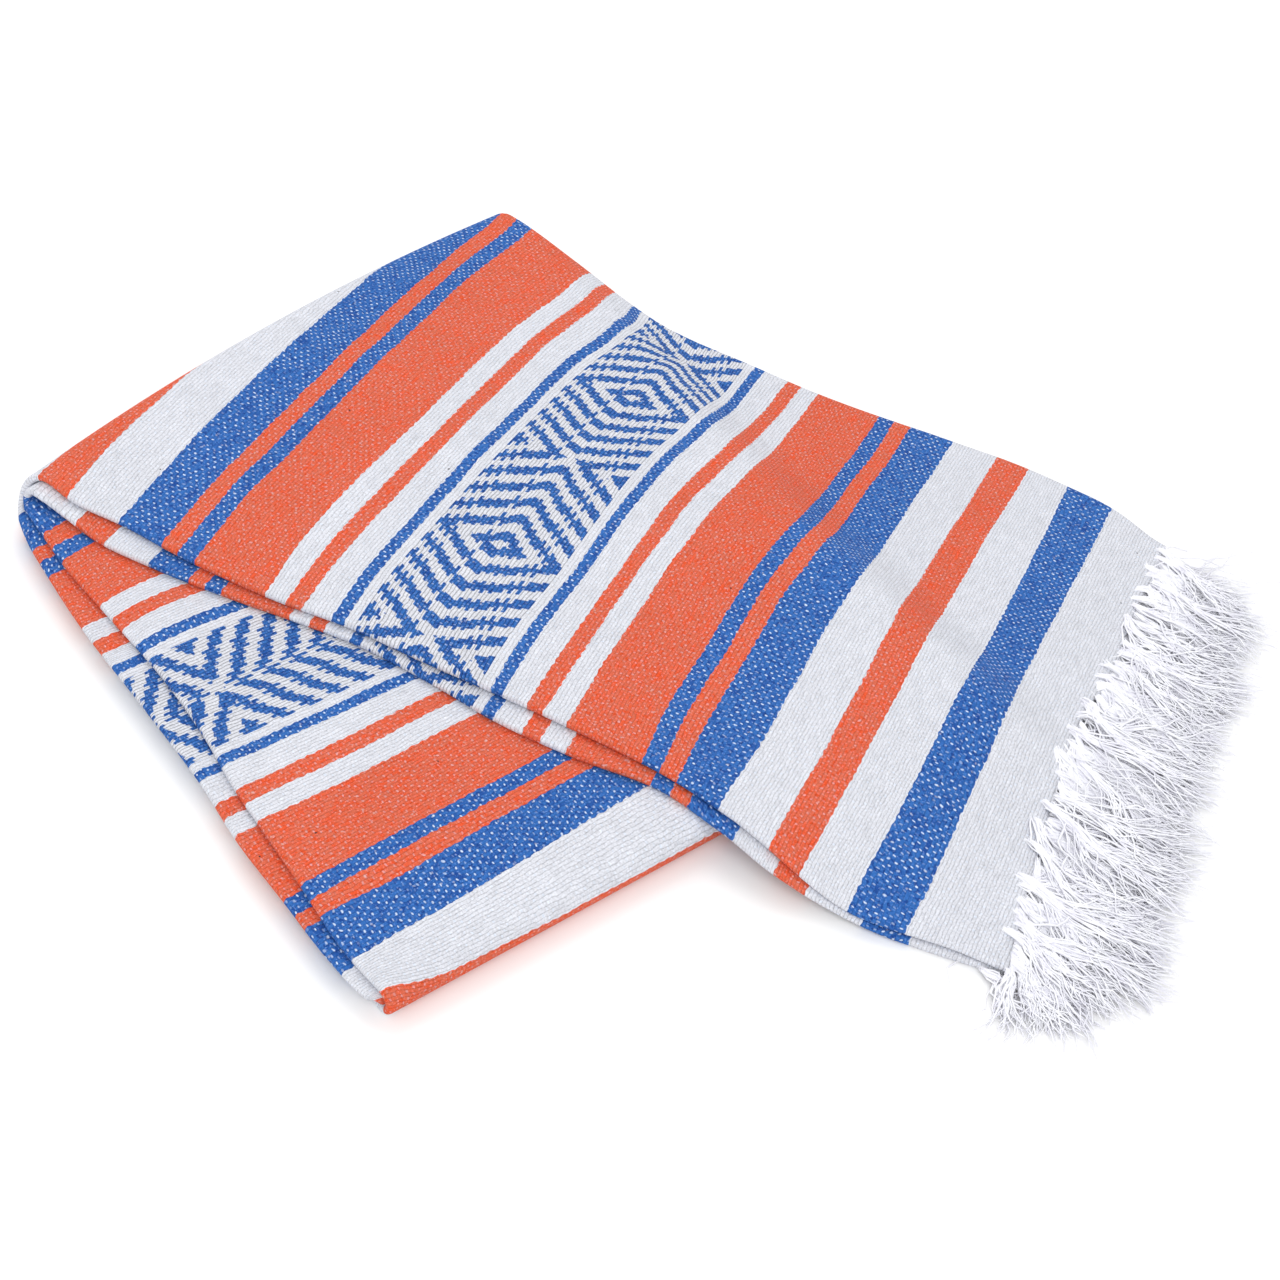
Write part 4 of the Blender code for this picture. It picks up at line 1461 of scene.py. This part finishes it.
@dataclass(frozen=True)
class SerapeCloth:
    """The finish of the striped cloth, with painted shade in the hollows and grooves of the weave.
    """

    coral: Colour = (0.675, 0.138, 0.074, 1.0)
    coral_deep: Colour = (0.700, 0.078, 0.020, 1.0)
    blue: Colour = (0.033, 0.145, 0.465, 1.0)
    blue_deep: Colour = (0.010, 0.060, 0.280, 1.0)
    white: Colour = (0.660, 0.670, 0.724, 1.0)
    warp: Colour = (0.680, 0.780, 0.930, 1.0)
    nep: Colour = (0.80, 0.76, 0.74, 1.0)
    seed: Colour = (0.035, 0.030, 0.030, 1.0)
    dyed: Span = (0.42, 0.74)
    fleck: float = 0.95
    fleck_scale: float = 440.0
    fleck_span: Span = (0.51, 0.64)
    heather: float = 0.40
    heather_span: Span = (0.56, 0.72)
    warp_on_white: float = 0.44
    warp_on_blue: float = 0.40
    warp_on_coral: float = -0.17
    warp_on_band: float = -0.60
    nep_strength: float = 0.30
    cloud_noise: Span = (18.0, 3.0)
    cloud: Span = (0.12, 0.96)
    slub: Span = (0.36, 0.82)
    fibre: Span = (1.30, 0.35)
    # Painted shade: how much the hollows at the warp ties are darkened, with the rest lifted
    # slightly.
    gap: Span = (-0.42, 1.03)
    # Painted shade: how much the grooves between picks of the diamond band are darkened.
    between: Span = (-0.34, 1.0)
    roughness: float = 0.92
    specular: float = 0.2
    relief: float = 0.75
    relief_depth: float = 0.0007

    def yarns(self, pen: Pen, cloth: Socket, layout: Node, woven: Node) -> Socket:
        """Colours the yarns.

        Args:
            pen: The pen on the material.
            cloth: Place on the cloth.
            layout: The node of the stripes.
            woven: The node of the weave.

        Returns:
            The colour.
        """
        on_coral, on_blue, on_band = (layout.outputs[title] for title in ("Coral", "Blue", "Band"))
        fleck = pen.noise(cloth, self.fleck_scale)
        fleck = pen.window(fleck, self.fleck_span, (0.0, self.fleck))
        dyed = pen.math("MAXIMUM", pen.window(woven.outputs["Slub"], self.dyed), fleck)
        colour = pen.blend(on_coral, self.white, pen.blend(dyed, self.coral, self.coral_deep))
        colour = pen.blend(on_blue, colour, pen.blend(dyed, self.blue, self.blue_deep))
        strength = pen.line(on_blue, self.warp_on_blue, self.warp_on_white)
        strength = pen.line(on_coral, self.warp_on_coral, strength)
        strength = pen.times(strength, pen.line(on_band, self.warp_on_band, 1.0))
        colour = pen.blend(pen.times(woven.outputs["Warp"], strength), colour, self.warp)
        heather = pen.window(woven.outputs["Fibre"], self.heather_span, (0.0, self.heather))
        return pen.blend(heather, colour, self.warp)

    def shade(self, pen: Pen, cloth: Socket, layout: Node, woven: Node) -> Socket:
        """Works out the grey over the weave: the yarn's own uneven tone, and painted shade in its
        hollows and grooves.

        Args:
            pen: The pen on the material.
            cloth: Place on the cloth.
            layout: The node of the stripes.
            woven: The node of the weave.

        Returns:
            A grey.
        """
        shade = pen.line(pen.noise(cloth, *self.cloud_noise), *self.cloud)
        # Painted shade in the grooves between picks, only within the diamond band.
        between = pen.times(woven.outputs["GrooveShade"], layout.outputs["Band"])
        # Slub and fibre are the yarn's own uneven tone; the last two rows paint shade into the
        # hollows and the grooves.
        for value, span in (
            (woven.outputs["Slub"], self.slub),
            (woven.outputs["Fibre"], self.fibre),
            (woven.outputs["GapShade"], self.gap),
            (between, self.between),
        ):
            shade = pen.times(shade, pen.line(value, *span))
        return shade

    def material(self, groups: tuple[Tree, ...]) -> Look:
        """Builds the material.

        Args:
            groups: The groups of the stripes, the weave and the stray fibres.

        Returns:
            The material.
        """
        look, pen, shader = new_look("serape_cloth", self.roughness, self.specular)
        cloth = pen.node("UVMap", uv_map=CLOTH_MAP).outputs[0]
        layout, woven, stray = (pen.node("Group", node_tree=group) for group in groups)
        for node in (layout, woven, stray):
            pen.feed(node.inputs[0], cloth)
        colour = self.yarns(pen, cloth, layout, woven)
        # Multiplies in the yarn's uneven tone and the painted shade of hollows and grooves.
        colour = pen.shaded(colour, self.shade(pen, cloth, layout, woven))
        colour = pen.blend(pen.times(stray.outputs["Nep"], self.nep_strength), colour, self.nep)
        colour = pen.blend(stray.outputs["Seed"], colour, self.seed)
        pen.feed(shader.inputs["Base Color"], colour)
        normal = pen.bump(woven.outputs["Height"], self.relief, self.relief_depth)
        pen.feed(shader.inputs["Normal"], normal)
        return look


@dataclass(frozen=True)
class FringeYarn:
    """The finish of the loose white warp ends."""

    white: Colour = (0.945, 0.950, 0.990, 1.0)
    shade: Colour = (0.870, 0.868, 0.935, 1.0)
    fibre: Spot = (1800.0, 3.0, 0.7)
    fibre_shade: Span = (0.08, 0.96)
    tuft_scale: float = 120.0
    tuft: Span = (0.35, 0.70)
    roughness: float = 0.95
    specular: float = 0.15
    relief: float = 0.5
    relief_depth: float = 0.0003

    def material(self) -> Look:
        """Builds the material and returns it."""
        look, pen, shader = new_look("fringe_yarn", self.roughness, self.specular)
        place = pen.node("TexCoord").outputs["Object"]
        fibre = pen.noise(place, *self.fibre)
        tuft = pen.window(pen.noise(place, self.tuft_scale), self.tuft)
        colour = pen.blend(tuft, self.white, self.shade)
        colour = pen.shaded(colour, pen.line(fibre, *self.fibre_shade))
        pen.feed(shader.inputs["Base Color"], colour)
        pen.feed(shader.inputs["Normal"], pen.bump(fibre, self.relief, self.relief_depth))
        return look


@dataclass(frozen=True)
class Lamp:
    """One soft square lamp that faces the serape."""

    name: str
    place: Spot
    power: float
    size: float = 1.2

    def hang(self) -> None:
        """Hangs the lamp."""
        light = bpy.data.lights.new(self.name, "AREA")
        light.shape = "SQUARE"
        light.size = self.size
        light.energy = self.power
        hung = put_in_scene(self.name, light)
        hung.location = self.place
        hung.rotation_euler = (-Vector(self.place)).to_track_quat("-Z", "Y").to_euler()


@dataclass(frozen=True)
class Studio:
    """A plain pale floor, soft light and the camera."""

    azimuth: float = 14.9
    elevation: float = 44.8
    roll: float = 13.5
    distance: float = 1.092
    target_x: float = 0.084
    target_y: float = 0.110
    focal: float = 2030.0
    picture: float = 1280.0
    sensor: float = 36.0
    sight: Span = (0.05, 50.0)
    floor_half: float = 6.0
    floor_colour: Colour = (0.96, 0.96, 0.96, 1.0)
    floor_roughness: float = 0.9
    floor_specular: float = 0.1
    sky: float = 0.88
    lamps: tuple[Lamp, ...] = (
        Lamp("key", (-1.1, 0.9, 1.9), 11.0), Lamp("fill", (0.45, -1.35, 1.75), 15.0),
    )
    plan: FoldPlan = FoldPlan()

    def floor(self) -> None:
        """Lays the floor."""
        shape = bmesh.new()
        bmesh.ops.create_grid(shape, x_segments=1, y_segments=1, size=self.floor_half)
        look, pen, shader = new_look("pale_floor", self.floor_roughness, self.floor_specular)
        pen.feed(shader.inputs["Base Color"], self.floor_colour)
        plane = finish_shape("floor", shape, look)

    def lights(self) -> None:
        """Sets the soft studio light."""
        world = bpy.data.worlds.new("studio")
        world.use_nodes = True
        sky = world.node_tree.nodes["Background"]
        sky.inputs[0].default_value = (1.0, 1.0, 1.0, 1.0)
        sky.inputs[1].default_value = self.sky
        bpy.context.scene.world = world
        bpy.context.scene.view_settings.view_transform = "Standard"
        for lamp in self.lamps:
            lamp.hang()

    def camera(self) -> None:
        """Places the camera."""
        a, e, r = (math.radians(turn) for turn in (self.azimuth, self.elevation, self.roll))
        back = Vector((math.sin(a) * math.cos(e), -math.cos(a) * math.cos(e), math.sin(e)))
        level = (-back).cross(Vector((0.0, 0.0, 1.0))).normalized()
        rise = level.cross(-back)
        right = level * math.cos(r) + rise * math.sin(r)
        up = rise * math.cos(r) - level * math.sin(r)
        lens = bpy.data.cameras.new("camera")
        lens.sensor_width = self.sensor
        lens.lens = self.focal / self.picture * self.sensor
        lens.clip_start, lens.clip_end = self.sight
        eye = put_in_scene("camera", lens)
        x, y = self.target_x - self.plan.middle_x, self.target_y - self.plan.middle_y
        eye.location = Vector((x, y, 0.0)) + back * self.distance
        eye.rotation_euler = Matrix((right, up, back)).transposed().to_euler()
        bpy.context.scene.camera = eye


OUTER_HALF = FoldedCloth(
    "outer_cloth", Half.OUTER, OUTER_CHART,
    replaces=("upper_stretch_face", "lower_stretch_underside", "hidden_inner_layers"),
)
LOWER_HALF = FoldedCloth(
    "lower_cloth", Half.LOWER, LOWER_CHART,
    replaces=("upper_stretch_underside", "lower_stretch_face"),
)
FRINGE_ROWS = (
    FringeRow(
        "fringe_top", "fringe_upper_layer", strands=2000, low=0.0078, high=0.0092, set_back=0.0,
        near_y=0.003, far_y=0.351, length=0.077, pile=0.0085, seed=3,
    ),
    FringeRow(
        "fringe_middle", "fringe_inner_layers", strands=2000, low=0.0030, high=0.0068,
        set_back=0.002, near_y=0.006, far_y=0.346, length=0.073, pile=0.0055, seed=5,
    ),
    FringeRow(
        "fringe_bottom", "fringe_under_layer", strands=1700, low=0.0006, high=0.0018,
        set_back=0.004, near_y=0.005, far_y=0.330, length=0.068, pile=0.0030, seed=8,
    ),
)


def main() -> None:
    """Builds the serape's pieces, then the studio."""
    logging.basicConfig(level=logging.INFO, format="%(message)s")
    groups = (StripeLayout().group(), Handweave().group(), StrayFibres().group())
    cloth = SerapeCloth().material(groups)
    yarn = FringeYarn().material()
    outer = OUTER_HALF.build(cloth)
    LOG.info("outer half of the panel built")
    lower = LOWER_HALF.build(cloth)
    LOG.info("lower half of the panel built")
    tucked = TuckedStack().build(cloth)
    LOG.info("tucked layers built")
    fringes = [row.build(yarn) for row in FRINGE_ROWS]
    LOG.info("fringe built")
    studio = Studio()
    studio.floor()
    studio.lights()
    studio.camera()
    LOG.info("studio ready")


if __name__ == "__main__":
    main()
